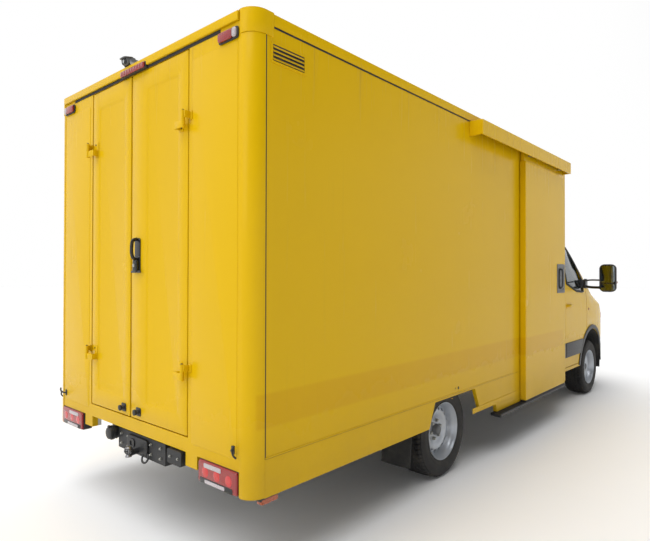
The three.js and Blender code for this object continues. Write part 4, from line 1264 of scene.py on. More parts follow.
# ------------------------------------------------------------------ rear lamps and camera
@dataclass
class RearLamps(Part):
    """Tail lamps, high markers, the high brake lamp and the reversing camera."""

    shop: Finishes
    lamp: tuple[float, float, float, float] = (0.645, 0.950, 0.458, 0.5737)

    def build(self) -> None:
        """Makes both sides' lamps and the middle ones."""
        for side, word in ((1, "right"), (-1, "left")):
            self.make_tail_lamp(side, word)
        self.make_markers()
        self.make_brake_lamp()
        self.make_camera()

    def make_tail_lamp(self, side: int, word: str) -> None:
        """A black tray, a red lens with chambers in a brighter red that is a painted highlight, a frosted strip at
        its top and a clear patch below.
        """
        x0, x1, z0, z1 = self.lamp
        tray = slab(rect(x0, x1, z0, z1, 0.012), 0.0, 0.056, 0.003, Axis.Y)
        lens = stepped([(rect(x0 + 0.003, x1 - 0.003, z0 + 0.003, z1 - 0.003, 0.012), 0.0),
                        (rect(x0 + 0.003, x1 - 0.003, z0 + 0.003, z1 - 0.003, 0.012), -0.007),
                        (rect(x0 + 0.007, x1 - 0.007, z0 + 0.007, z1 - 0.007, 0.012), -0.012),
                        (rect(x0 + 0.014, x1 - 0.014, z0 + 0.012, z1 - 0.012, 0.012), -0.0130)], Axis.Y)
        strip = block((x0 + 0.052, -0.0152, z1 - 0.032), (x1 - 0.118, -0.0125, z1 - 0.010), 0.001, Axis.Y,
                      0.006)
        patch = block((x0 + 0.060, -0.0150, z0 + 0.008), (x1 - 0.090, -0.0125, z0 + 0.026), 0.001, Axis.Y,
                      0.006)
        dark = block((x0 + 0.020, -0.0142, z0 + 0.006), (x1 - 0.030, -0.0122, z0 + 0.032), 0.001, Axis.Y,
                     0.006)
        chambers = total(
            bowl((x, -0.0128, (z0 + z1) / 2 + 0.004), (0.0022, 0.026), 1, -1, 5, 26)
            for x in (x0 + 0.062, x0 + 0.152, x1 - 0.062))
        piece = make(f"tail_lamp_{word}_tray", on_side(tray, side), self.shop.plastic)
        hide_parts(f"tail_light_{word}")
        make(f"tail_lamp_{word}_lens", on_side(lens, side), self.shop.red)
        # The chambers' brighter red is a painted highlight.
        make(f"tail_lamp_{word}_chambers", on_side(chambers, side), self.shop.red_painted_highlight)
        make(f"tail_lamp_{word}_strips", on_side(strip + patch, side), self.shop.bezel)
        make(f"tail_lamp_{word}_foot", on_side(dark, side), self.shop.gloss_black)

    def make_markers(self) -> None:
        """A red marker lamp with a clear outer end high on each side of the rear face."""
        base = block((0.795, -0.0095, 2.5930), (0.942, -0.0028, 2.6500), 0.002, Axis.Y, 0.012)
        red = block((0.801, -0.0220, 2.5985), (0.905, -0.0085, 2.6445), 0.006, Axis.Y, 0.012, 3)
        end = block((0.9055, -0.0215, 2.5985), (0.9360, -0.0085, 2.6445), 0.006, Axis.Y, 0.012, 3)
        make("marker_lamp_bases", base.both(), self.shop.plastic)
        make("marker_lamp_lenses", red.both(), self.shop.red)
        make("marker_lamp_ends", end.both(), self.shop.bezel)

    def make_brake_lamp(self) -> None:
        """A shallow black base with a ribbed red lens over a row of lit cells."""
        base = block((-0.139, -0.0180, 2.6565), (0.139, -0.0005, 2.6955), 0.003, Axis.Y, 0.010)
        lens = block((-0.133, -0.0285, 2.6600), (0.133, -0.0165, 2.6920), 0.005, Axis.Y, 0.010, 3)
        cells = block((-0.010, -0.0295, 2.6650), (0.010, -0.0280, 2.6870), 0.0007, Axis.Y, 0.005).repeated(
            np.array([(x, 0, 0) for x in np.linspace(-0.116, 0.116, 9)]))
        piece = make("high_brake_lamp_base", base, self.shop.plastic)
        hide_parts("brake_light")
        make("high_brake_lamp_lens", lens + cells, self.shop.red)

    def make_camera(self) -> None:
        """A hooded camera on a folded bracket, looking back and down, with its screws."""
        foot = block((-0.119, 0.004, 2.7203), (-0.041, 0.062, 2.7240), 0.0012, Axis.Z, 0.008)
        cheeks = block((-0.116, -0.012, 2.7220), (-0.1125, 0.050, 2.7620), 0.001, Axis.X, 0.012) + block(
            (-0.0475, -0.012, 2.7220), (-0.0440, 0.050, 2.7620), 0.001, Axis.X, 0.012)
        tip = (-0.08, 0.0, 2.750)
        housing = block((-0.1115, -0.030, 2.7290), (-0.0485, 0.034, 2.7710), 0.010, Axis.Y, 0.014, 4)
        hood = block((-0.1130, -0.044, 2.7660), (-0.0470, 0.020, 2.7730), 0.003, Axis.Z, 0.014)
        face = block((-0.1060, -0.0335, 2.7330), (-0.0540, -0.0285, 2.7670), 0.002, Axis.Y, 0.010)
        glass = bowl((-0.080, -0.0336, 2.750), (0.0050, 0.0115), 1, -1)
        ring = revolved([(0, 0.0115), (-0.003, 0.0120), (-0.003, 0.0150), (0, 0.0155)], 26, 1).moved(
            -0.080, -0.0336, 2.750)
        body = (housing + hood).turned(0, 12, tip)
        piece = make("reversing_camera_housing", body, self.shop.grey_plastic)
        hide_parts("reversing_camera")
        make("reversing_camera_face", (face + ring).turned(0, 12, tip), self.shop.gloss_black)
        make("reversing_camera_glass", glass.turned(0, 12, tip), self.shop.clear)
        screws = hex_heads(np.array([(x, 0.052, 2.7241) for x in (-0.106, -0.054)]), 0.005, 0.004, 2)
        make("reversing_camera_bracket", foot + cheeks + screws, self.shop.aluminium)


# ------------------------------------------------------------------ tow bar
@dataclass
class TowBar(Part):
    """The bar under the sill: beam, plates, ball, socket with its lid, chain ring, and bolts."""

    shop: Finishes

    def build(self) -> None:
        """Softens the bar and adds what is bolted to it."""
        refined("tow_bar", self.shop.chassis, 0.003)
        bolts = hex_heads(np.array([(x, 0.0198, z) for x in (-0.175, -0.095, 0.155, 0.255) for z in (0.472,
                                                                                                     0.528)]),
                          0.011, 0.010, 1, -1)
        end = hex_heads(np.array([(x, -0.0162, 0.530) for x in (0.405, 0.475)]), 0.010, 0.008, 1, -1)
        make("tow_bar_bolts", bolts + end, self.shop.zinc)
        ball = revolved([(-0.0245, 0.0), (-0.022, 0.011), (-0.0165, 0.0185), (-0.006, 0.0240),
                         (0.006, 0.0240),
                         (0.0165, 0.0185), (0.022, 0.0110), (0.0245, 0.0)], 28, 2)
        collar = revolved([(-0.036, 0), (-0.036, 0.018), (-0.030, 0.018), (-0.024, 0.013), (-0.018, 0.013),
                           (-0.018, 0)], 24, 2)
        make("tow_ball", (ball + collar).moved(0.0306, -0.0483, 0.4862), self.shop.disc)
        lid = revolved([(-0.012, 0), (-0.012, 0.028), (-0.008, 0.035), (0.0, 0.037), (0.004, 0.037),
                        (0.004, 0)],
                       30, 1).moved(-0.262, -0.0145, 0.520)
        ear = block((-0.272, -0.0260, 0.545), (-0.252, -0.0100, 0.566), 0.003, Axis.X, 0.005)
        rim = revolved([(0.006, 0.038), (0.006, 0.043), (0.020, 0.043), (0.020, 0.038)], 30, 1).moved(
            -0.262, -0.0145, 0.520)
        make("trailer_socket", lid + ear + rim, self.shop.plastic)
        ring = tube(np.array([(0.115 + 0.030 * math.cos(t), 0.006 + 0.010 * math.sin(t),
                               0.447 + 0.024 * math.sin(t))
                              for t in np.linspace(0, 2 * math.pi, 30)]), 0.0055, 10, (0, 1, 0.3))
        cover = block((-0.090, 0.0060, 0.462), (0.130, 0.0196, 0.545), 0.004, Axis.Y, 0.018, 4)
        mouth = band_ring(rect(-0.060, 0.000, 0.478, 0.530, 0.02), rect(-0.048, -0.012, 0.490, 0.518, 0.012),
                          0.0, 0.0058, Axis.Y)
        make("tow_bar_cover", cover + mouth + ring, self.shop.plastic)
        tag = block((-0.166, 0.055, 0.535), (-0.128, 0.060, 0.590), 0.001, Axis.Y, 0.004)
        make("bracket_tag", tag, self.shop.bezel)
        lead = tube(smooth_path([(-0.262, 0.020, 0.500), (-0.300, 0.050, 0.470), (-0.350, 0.100, 0.480),
                                 (-0.400, 0.160, 0.530)], 26), 0.0060, 10)
        make("socket_lead_conduit", lead, self.shop.seal)


# ------------------------------------------------------------------ sliding door
@dataclass
class SideDoor(Part):
    """The sliding side door with its recessed handle, its rail, guide, seal and step."""

    shop: Finishes
    face: float = 1.093
    rear: float = 3.130
    front: float = 4.200
    low: float = 0.378
    high: float = 2.512

    def build(self) -> None:
        """Makes the leaf, then the rail above and the step below."""
        self.make_leaf()
        self.make_handle()
        self.make_rail()
        self.make_step()

    def make_leaf(self) -> None:
        """A boxed leaf with rolled edges, its hanger plate, and seals at its edges."""
        edge = rect(self.rear, self.front, self.low, self.high, 0.008)
        rows = [(inset(edge, 0.002), 1.041), (edge, 1.043), (edge, self.face - 0.005),
                (inset(edge, 0.0018), self.face - 0.0016), (inset(edge, 0.005), self.face)]
        hanger = block((1.041, self.rear + 0.010, self.high - 0.001), (1.075, self.front - 0.010, 2.600),
                       0.003)
        leaf = make("side_door_leaf", stepped(rows, Axis.X) + hanger, self.shop.paint_all, "sliding_door",
                    25.0)
        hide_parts("sliding_door")
        lip = slab(rect(1.0425, 1.0885, self.low - 0.016, self.low + 0.001, 0.004), self.rear + 0.01,
                   self.front - 0.01, 0.002, Axis.Y)
        make("side_door_bottom_seal", lip, self.shop.seal, "sliding_door")
        strip = slab(rect(1.0935, 1.0960, 2.494, 2.510, 0.001), self.rear + 0.004, self.front - 0.004, 0.0008,
                     Axis.Y)
        make("side_door_top_trim", strip.moved(-0.0004), self.shop.paint_all, "sliding_door")

    def make_handle(self) -> None:
        """A dark tray in a paler surround, with a long vertical grip and a key barrel."""
        y0, y1, z0, z1 = 3.958, 4.186, 1.311, 1.603
        outer, middle = rect(y0, y1, z0, z1, 0.012), rect(y0 + 0.030, y1 - 0.030, z0 + 0.030, z1 - 0.030,
                                                          0.02)
        surround = stepped([(outer, self.face + 0.0002), (outer, self.face + 0.0030),
                            (inset(outer, 0.003), self.face + 0.0052),
                            (inset(middle, -0.004), self.face + 0.0052),
                            (middle, self.face + 0.0035), (inset(middle, 0.006), self.face + 0.0002)],
                            Axis.X, True)
        tray = slab(inset(middle, 0.003), self.face + 0.0002, self.face + 0.0014, 0.0004, Axis.X, 1)
        mid = (y0 + y1) / 2
        grip = tube(smooth_path([(self.face + 0.002, mid, z0 + 0.046), (self.face + 0.018, mid, z0 + 0.062),
                                 (self.face + 0.022, mid, z0 + 0.105), (self.face + 0.022, mid, z1 - 0.105),
                                 (self.face + 0.018, mid, z1 - 0.062),
                                 (self.face + 0.002, mid, z1 - 0.046)], 46),
                    0.011, 14, (0, 1, 0), np.array([(math.cos(t) * 0.75, math.sin(t) * 2.2)
                                                   for t in np.linspace(0, 2 * math.pi, 18, endpoint=False)]))
        lock = revolved([(0, 0), (0, 0.013), (0.005, 0.012), (0.006, 0)], 22, 0).moved(
            self.face + 0.001, y1 - 0.052, z0 + 0.060)
        make("side_handle_surround", surround, self.shop.grey_plastic, "sliding_door")
        make("side_handle", tray + grip, self.shop.gloss_black, "sliding_door")
        make("side_handle_lock", lock, self.shop.zinc, "sliding_door")

    def make_rail(self) -> None:
        """The painted cover, a steel track inside it, and two rollers on the door's arms."""
        refined("door_rail_cover", self.shop.paint_all, 0.0025)
        track = slab(rect(1.088, 1.124, 2.6230, 2.6290, 0.001), 2.165, 4.220, 0.001, Axis.Y, 1)
        inner = slab(rect(1.088, 1.0915, 2.5950, 2.6240, 0.001), 2.165, 4.220, 0.001, Axis.Y, 1)
        outer = slab(rect(1.1205, 1.124, 2.5950, 2.6240, 0.001), 2.165, 4.220, 0.001, Axis.Y, 1)
        make("door_track", track + inner + outer, self.shop.aluminium)
        arms = total(block((1.070, y - 0.030, 2.5650), (1.112, y + 0.030, 2.5730), 0.002, Axis.Z, 0.006)
                     + block((1.098, y - 0.012, 2.5700), (1.112, y + 0.012, 2.6020), 0.002, Axis.Z, 0.005)
                     + revolved([(-0.010, 0), (-0.010, 0.010), (-0.006, 0.0125), (0.006, 0.0125),
                                 (0.010, 0.010),
                                 (0.010, 0)], 22, 0).moved(1.106, y, 2.6085)
                     for y in (3.26, 4.06))
        make("door_rollers", arms, self.shop.zinc, "sliding_door")
        guide = slab(rect(1.036, 1.0395, 0.430, 0.470, 0.001), 2.20, 3.115, 0.0008, Axis.Y, 1)
        make("door_lower_guide", guide, self.shop.paint_all)
        opening = rect(3.192, 4.153, 0.388, 2.483, 0.03)
        seal = band_ring(opening, inset(opening, 0.012), 1.0352, 1.0392, Axis.X, 0.0012)
        make("doorway_seal", seal, self.shop.seal)

    def make_step(self) -> None:
        """The running board with ribs along its top and an end cap."""
        refined("running_board", self.shop.plastic, 0.003)
        ribs = slab(rect(-0.0022, 0.0022, -0.0008, 0.0020, 0.001), 2.612, 4.198, 0.0008, Axis.Y, 1).repeated(
            np.array([(x, 0, 0.3610) for x in (1.046, 1.056, 1.066, 1.076, 1.086)]))
        make("running_board_ribs", ribs, self.shop.seal)
        cap = block((1.034, 2.592, 0.333), (1.0965, 2.606, 0.3590), 0.003, Axis.Y, 0.008)
        far = block((1.034, 4.204, 0.333), (1.0965, 4.218, 0.3590), 0.003, Axis.Y, 0.008)
        make("running_board_caps", cap + far, self.shop.plastic)


# ------------------------------------------------------------------ wheels
@dataclass
class Wheels(Part):
    """Four steel wheels with treaded tyres, front brakes and rear mud flaps."""

    shop: Finishes
    radius: float = 0.3298
    middle: float = 0.8545
    half_width: float = 0.1174
    blocks: int = 56
    holes: int = 18
    hole_row: float = 0.150
    hole_size: float = 0.0112

    def build(self) -> None:
        """Makes one wheel's shells and sets a copy at each corner."""
        tyre, wheel, nuts, cap = self.tyre(), self.wheel(), self.nuts(), self.cap()
        for axle in ("front", "rear"):
            low, high = drawn(f"tyre_{axle}_right")
            centre = (low + high) / 2
            for side, word in ((1, "right"), (-1, "left")):
                body = f"wheel_{axle}_{word}"
                label = f"{axle}_{word}"
                here = [on_side(shell.moved(0, centre[1], centre[2]), side) for shell in (tyre, wheel, nuts,
                                                                                          cap)]
                piece = make(f"tyre_{label}_tread", here[0], self.shop.rubber, body, 32.0)
                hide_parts(f"tyre_{label}")
                piece = make(f"wheel_{label}_disc", here[1], self.shop.wheel, body, 30.0)
                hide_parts(f"rim_{label}")
                make(f"wheel_{label}_nuts", here[2], self.shop.zinc, body)
                make(f"wheel_{label}_cap", here[3], self.shop.grey_plastic, body)
        self.make_brakes()
        self.make_flaps()

    def tyre(self) -> Shell:
        """Tyre as a section turned about its axle, with the tread cut in.

        Across the tread the radius falls by a small crown; four grooves run round it, each a smooth
        dip in the distance from its line, and the shoulder blocks are parted by slots, which are a
        dip in the fraction of a block's turn. The sidewalls carry two low rings.
        """
        turn = np.linspace(0, 2 * np.pi, self.blocks * 6, endpoint=False)
        w = np.linspace(-1, 1, 45)
        crown = 0.004 * w ** 2 + 0.012 * np.clip((np.abs(w) - 0.84) / 0.16, 0, 1) ** 2
        grooves = sum(np.clip(1.6 - np.abs(w - at) / 0.032, 0, 1) for at in (-0.56, -0.2, 0.2, 0.56))
        phase = turn[:, None] / (2 * np.pi) * self.blocks
        stagger = np.where(w > 0, 0.5, 0.0) + 0.35 * np.abs(w)
        fraction = np.abs(np.mod(phase + stagger, 1.0) - 0.5)
        slots = np.clip((0.16 - fraction) / 0.05, 0, 1) * np.where(np.abs(w) > 0.6, 1.0, 0.45)
        slots = slots * np.where(np.abs(w) < 0.18, 0.0, 1.0)
        depth = 0.0072 * np.maximum(grooves[None], slots)
        tread = np.stack([np.broadcast_to(w * self.half_width * 0.85, depth.shape),
                          self.radius - crown[None] - depth], axis=-1)
        wall = np.array([(0.905, 0.0185), (0.945, 0.0290), (0.975, 0.0420), (0.9885, 0.0480),
                         (0.9900, 0.0505),
                         (0.9980, 0.0515), (1.0000, 0.0660), (0.9900, 0.0800), (0.9700, 0.0930),
                         (0.9760, 0.0950), (0.9600, 0.1040), (0.9300, 0.1120), (0.9000, 0.1190),
                         (0.8800, 0.1230),
                         (0.8500, 0.1262), (0.8000, 0.1180)])
        wall = np.column_stack([wall[:, 0] * self.half_width, self.radius - wall[:, 1]])
        other = wall[::-1] * np.array([-1, 1])
        rows = [np.broadcast_to(part, (len(turn), *part.shape)) for part in (other, wall)]
        section = np.concatenate([rows[0], tread, rows[1]], axis=1)
        points = np.empty((*section.shape[:2], 3))
        points[..., 0] = self.middle + section[..., 0]
        points[..., 1] = section[..., 1] * np.cos(turn)[:, None]
        points[..., 2] = section[..., 1] * np.sin(turn)[:, None]
        points = np.concatenate([points, points[:1]])
        return grid(points, ring=True)

    @staticmethod
    def face(radius: Array | float) -> Array:
        """How far out the disc stands at a radius."""
        return np.interp(radius, [0.0, 0.070, 0.080, 0.090, 0.104, 0.120, 0.134, 0.150, 0.163, 0.172],
                         [0.889, 0.889, 0.8895, 0.8925, 0.9015, 0.9085, 0.9105, 0.9075, 0.9005, 0.8925])

    def pierced(self) -> Shell:
        """The ring of the disc that holds the vent holes.

        One sector is a frame between a round hole and the sector's edge: points at the same turn on
        both are joined. Each point stands out as far as the disc's face at its radius.
        """
        turn = np.linspace(0, 2 * np.pi, 32, endpoint=False) + np.pi / 32
        c, s = np.cos(turn), np.sin(turn)
        reach = np.maximum(np.abs(c), np.abs(s))
        share = math.pi / self.holes
        edge_r, edge_t = self.hole_row + 0.0140 * c / reach, share * s / reach
        hole_r = self.hole_row + self.hole_size * 0.86 * c
        hole_t = self.hole_size * 1.12 * s / self.hole_row
        rows = []
        for r, t, sink in ((hole_r, hole_t, 0.0050), (hole_r, hole_t, 0.0008),
                           (self.hole_row + (hole_r - self.hole_row) * 1.08, hole_t * 1.08, 0.0),
                           (edge_r, edge_t, 0.0), (edge_r, edge_t, 0.0050)):
            rows.append(np.column_stack([self.face(r) - sink, r * np.cos(t), r * np.sin(t)]))
        shell = grid(np.array(rows + rows[:1]), ring=True)
        count = len(turn)
        rim_faces = np.arange(3 * count, 4 * count)
        k = rim_faces - 3 * count
        side_on = (np.abs(s) >= np.abs(c)) & (np.abs(np.roll(s, -1)) >= np.abs(np.roll(c, -1)))
        drop = set(rim_faces[side_on[k]].tolist())
        shell.faces = [face for i, face in enumerate(shell.faces) if i not in drop]
        return total(shell.turned(0, 360.0 / self.holes * i) for i in range(self.holes))

    def wheel(self) -> Shell:
        """Disc, pierced ring and rim."""
        radii = np.array([0.028, 0.050, 0.070, 0.080, 0.090, 0.104, 0.120, 0.1362])
        front = np.column_stack([self.face(radii), radii])
        back = front[::-1] - np.array([0.0050, 0.0])
        disc = revolved(np.vstack([front, back]), 54)
        edge = float(self.face(0.1638))
        ring = revolved([(edge, 0.1638), (0.8960, 0.1690), (0.9040, 0.1730), (0.9200, 0.1775),
                         (0.9360, 0.1835),
                         (0.9470, 0.1915), (0.9550, 0.1972), (0.9610, 0.1990), (0.9640, 0.2018),
                         (0.9640, 0.2045),
                         (0.9610, 0.2060), (0.9570, 0.2045), (0.9500, 0.1995), (0.9300, 0.1860),
                         (0.8000, 0.1730),
                         (0.7760, 0.1860), (0.7600, 0.1985), (0.7500, 0.2050), (0.7456, 0.2055),
                         (0.7456, 0.2020),
                         (0.7560, 0.1950), (0.7720, 0.1830), (0.7960, 0.1690), (0.8860, 0.1655),
                         (edge - 0.0050, 0.1638)], 72)
        return disc + self.pierced() + ring

    def nuts(self) -> Shell:
        """Six domed wheel nuts and the valve."""
        turn = np.radians(np.arange(6) * 60.0 + 12.0)
        places = np.column_stack([np.full(6, 0.8892), 0.0655 * np.cos(turn), 0.0655 * np.sin(turn)])
        seat = revolved([(0, 0), (0, 0.0155), (0.004, 0.0140), (0.0045, 0)], 18).repeated(places)
        nut = revolved([(0.003, 0), (0.003, 0.0118), (0.0150, 0.0118), (0.0190, 0.0085), (0.0215, 0.0040),
                        (0.0215, 0)], 6).repeated(places)
        valve = rod((0.905, 0.172 * math.cos(2.2), 0.172 * math.sin(2.2)),
                    (0.936, 0.166 * math.cos(2.2), 0.166 * math.sin(2.2)), 0.0045)
        return seat + nut + valve

    def cap(self) -> Shell:
        """The hub's plain dust cap: a stepped dome."""
        return revolved([(0.880, 0), (0.880, 0.0405), (0.9000, 0.0400), (0.9040, 0.0370), (0.9060, 0.0365),
                         (0.9200, 0.0340), (0.9265, 0.0290), (0.9300, 0.0200), (0.9310, 0.0)], 36)

    def make_brakes(self) -> None:
        """Vented discs and calipers on the front knuckles, and the softened knuckles themselves."""
        low, high = drawn("tyre_front_right")
        _, y, z = (low + high) / 2
        plates = revolved([(0.8005, 0.050), (0.8005, 0.1395), (0.8085, 0.1395), (0.8085, 0.050)],
                          48) + revolved(
            [(0.8155, 0.050), (0.8155, 0.1395), (0.8235, 0.1395), (0.8235, 0.050)], 48)
        vanes = total(block((0.8080, 0.060, -0.002), (0.8160, 0.136, 0.002), 0.0008).turned(0, 12.0 * i)
                      for i in range(30))
        hat = revolved([(0.8200, 0.0), (0.8200, 0.0720), (0.8480, 0.0680), (0.8600, 0.0640), (0.8600, 0.0)],
                       36)
        caliper = block((0.7860, -0.1440, -0.056), (0.8380, -0.0800, 0.056), 0.010, Axis.X, 0.016, 3)
        for side, word in ((1, "right"), (-1, "left")):
            body = f"front_knuckle_{word}"
            knuckle = refined(body, self.shop.chassis, 0.003)
            LOG.info("knuckle %s", knuckle.name)
            turned_parts = (plates + vanes + hat).moved(0, y, z)
            make(f"brake_disc_{word}", on_side(turned_parts, side), self.shop.disc, f"wheel_front_{word}")
            make(f"brake_caliper_{word}", on_side(caliper.moved(0, y, z), side), self.shop.casting, body)

    def make_flaps(self) -> None:
        """A rubber flap behind each rear wheel: a sheet that bends back by the square of its drop."""
        low, high = drawn("tyre_rear_right")
        y = (low + high)[1] / 2 - 0.480
        u, v = np.meshgrid(np.linspace(0, 1, 15), np.linspace(0, 1, 21))
        x = 0.772 + 0.226 * u
        z = 0.600 - 0.372 * v
        ribs = 0.0018 * np.clip(np.sin(u * 5 * 2 * np.pi), 0, 1) * np.clip((v - 0.35) * 8, 0, 1)
        sag = 0.028 * v ** 2 + 0.006 * np.sin(u * np.pi) * v
        front = np.stack([x, y - sag + ribs, z], axis=-1)
        back = np.stack([x, y - sag - 0.006, z], axis=-1)
        around = [np.concatenate([s[0], s[1:, -1], s[-1, -2::-1], s[-2:0:-1, 0]]) for s in (front, back)]
        flap = grid(front) + grid(back) + grid(np.array(around), ring=True)
        bar = block((0.762, y - 0.012, 0.575), (1.000, y + 0.006, 0.605), 0.003, Axis.X, 0.004)
        bolts = hex_heads(np.array([(x_, y - 0.0121, 0.590) for x_ in (0.80, 0.88, 0.96)]), 0.008, 0.006, 1,
                          -1)
        make("mud_flaps", flap.both(), self.shop.flap)
        make("mud_flap_bars", (bar + bolts).both(), self.shop.chassis)


# ------------------------------------------------------------------ cab
class Caster:
    """Finds where lines meet the outer surface of some CAD nodes."""

    def __init__(self, *nodes: str) -> None:
        """Builds one tree of all the nodes' triangles."""
        points: list[Any] = []
        faces: list[tuple[int, ...]] = []
        for node in nodes:
            mesh = frame["nodes"][node].data
            start = len(points)
            points += [v.co - Vector(DATUM) for v in mesh.vertices]
            faces += [tuple(i + start for i in poly.vertices) for poly in mesh.polygons]
        self.tree = BVHTree.FromPolygons(points, faces)

    def onto(self, points: Array, toward: Sequence[float], proud: float = 0.0) -> Array:
        """Points carried along a direction onto the surface.

        Args:
            points: Array of n points outside the surface.
            toward: The direction of travel.
            proud: How far short of the surface they stop.

        Returns:
            Array of n points; one that meets nothing takes its neighbours' depth.
        """
        way = Vector(toward).normalized()
        hits = [self.tree.ray_cast(Vector(p), way)[3] for p in np.atleast_2d(points)]
        depth = np.array([np.nan if h is None else h for h in hits], float)
        known = ~np.isnan(depth)
        depth = np.interp(np.arange(len(depth)), np.flatnonzero(known), depth[known])
        return np.atleast_2d(points) + (depth - proud)[:, None] * np.array(way)


def resampled(corners_: Sequence[Sequence[float]], step: float = 0.02, closed: bool = True) -> Array:
    """Points every so far along a polygon's sides."""
    pts = np.array(list(corners_) + ([corners_[0]] if closed else []), float)
    length = np.concatenate([[0], np.cumsum(np.linalg.norm(np.diff(pts, axis=0), axis=1))])
    count = max(8, int(length[-1] / step))
    at = np.linspace(0, length[-1], count, endpoint=not closed)
    return np.column_stack([np.interp(at, length, pts[:, k]) for k in range(pts.shape[1])])


def hoop(path: Array, width: float, height: float, up: Sequence[float]) -> Shell:
    """A flat rounded strip carried round a closed path, its flat side facing up."""
    along = np.roll(path, -1, 0) - np.roll(path, 1, 0)
    along /= np.linalg.norm(along, axis=1, keepdims=True)
    across = np.cross(along, np.array(up, float))
    across /= np.linalg.norm(across, axis=1, keepdims=True)
    over = np.cross(across, along)
    section = rounded_rect(width, height, min(width, height) * 0.3, 2)
    ring = section[None, :, :1] * across[:, None] + section[None, :, 1:] * over[:, None]
    points = path[:, None] + ring
    return grid(np.concatenate([points, points[:1]]), ring=True)


def strip(path: Array, width: float, height: float, up: Sequence[float]) -> Shell:
    """A flat rounded strip carried along an open path."""
    return tube(path, 1.0, up=up, section=rounded_rect(width, height, min(width, height) * 0.3, 2))


def draped(caster: Caster, low: Sequence[float], high: Sequence[float], plane: Axis, toward: Sequence[float],
           proud: float, thick: float, steps: tuple[int, int] = (24, 8)) -> Shell:
    """A thin sheet laid on a surface: a grid over a rectangle, carried onto it and given a thickness.

    Args:
        caster: The surface.
        low: The rectangle's low corner in the plane, then how far out the grid starts.
        high: Its high corner.
        plane: The axis across the rectangle.
        toward: The way the grid is carried.
        proud: How far its outer face stands off.
        thick: Its thickness.
        steps: Cells along each direction.

    Returns:
        The closed shell.
    """
    a, b, c = plane.value
    u, v = np.meshgrid(np.linspace(low[0], high[0], steps[0]), np.linspace(low[1], high[1], steps[1]))
    start = np.empty((*u.shape, 3))
    start[..., a], start[..., b], start[..., c] = u, v, low[2]
    top = caster.onto(start.reshape(-1, 3), toward, proud).reshape(start.shape)
    under = top + np.array(toward, float) * thick
    around = [np.concatenate([s[0], s[1:, -1], s[-1, -2::-1], s[-2:0:-1, 0]]) for s in (top, under)]
    return grid(top) + grid(under) + grid(np.array(around), ring=True)


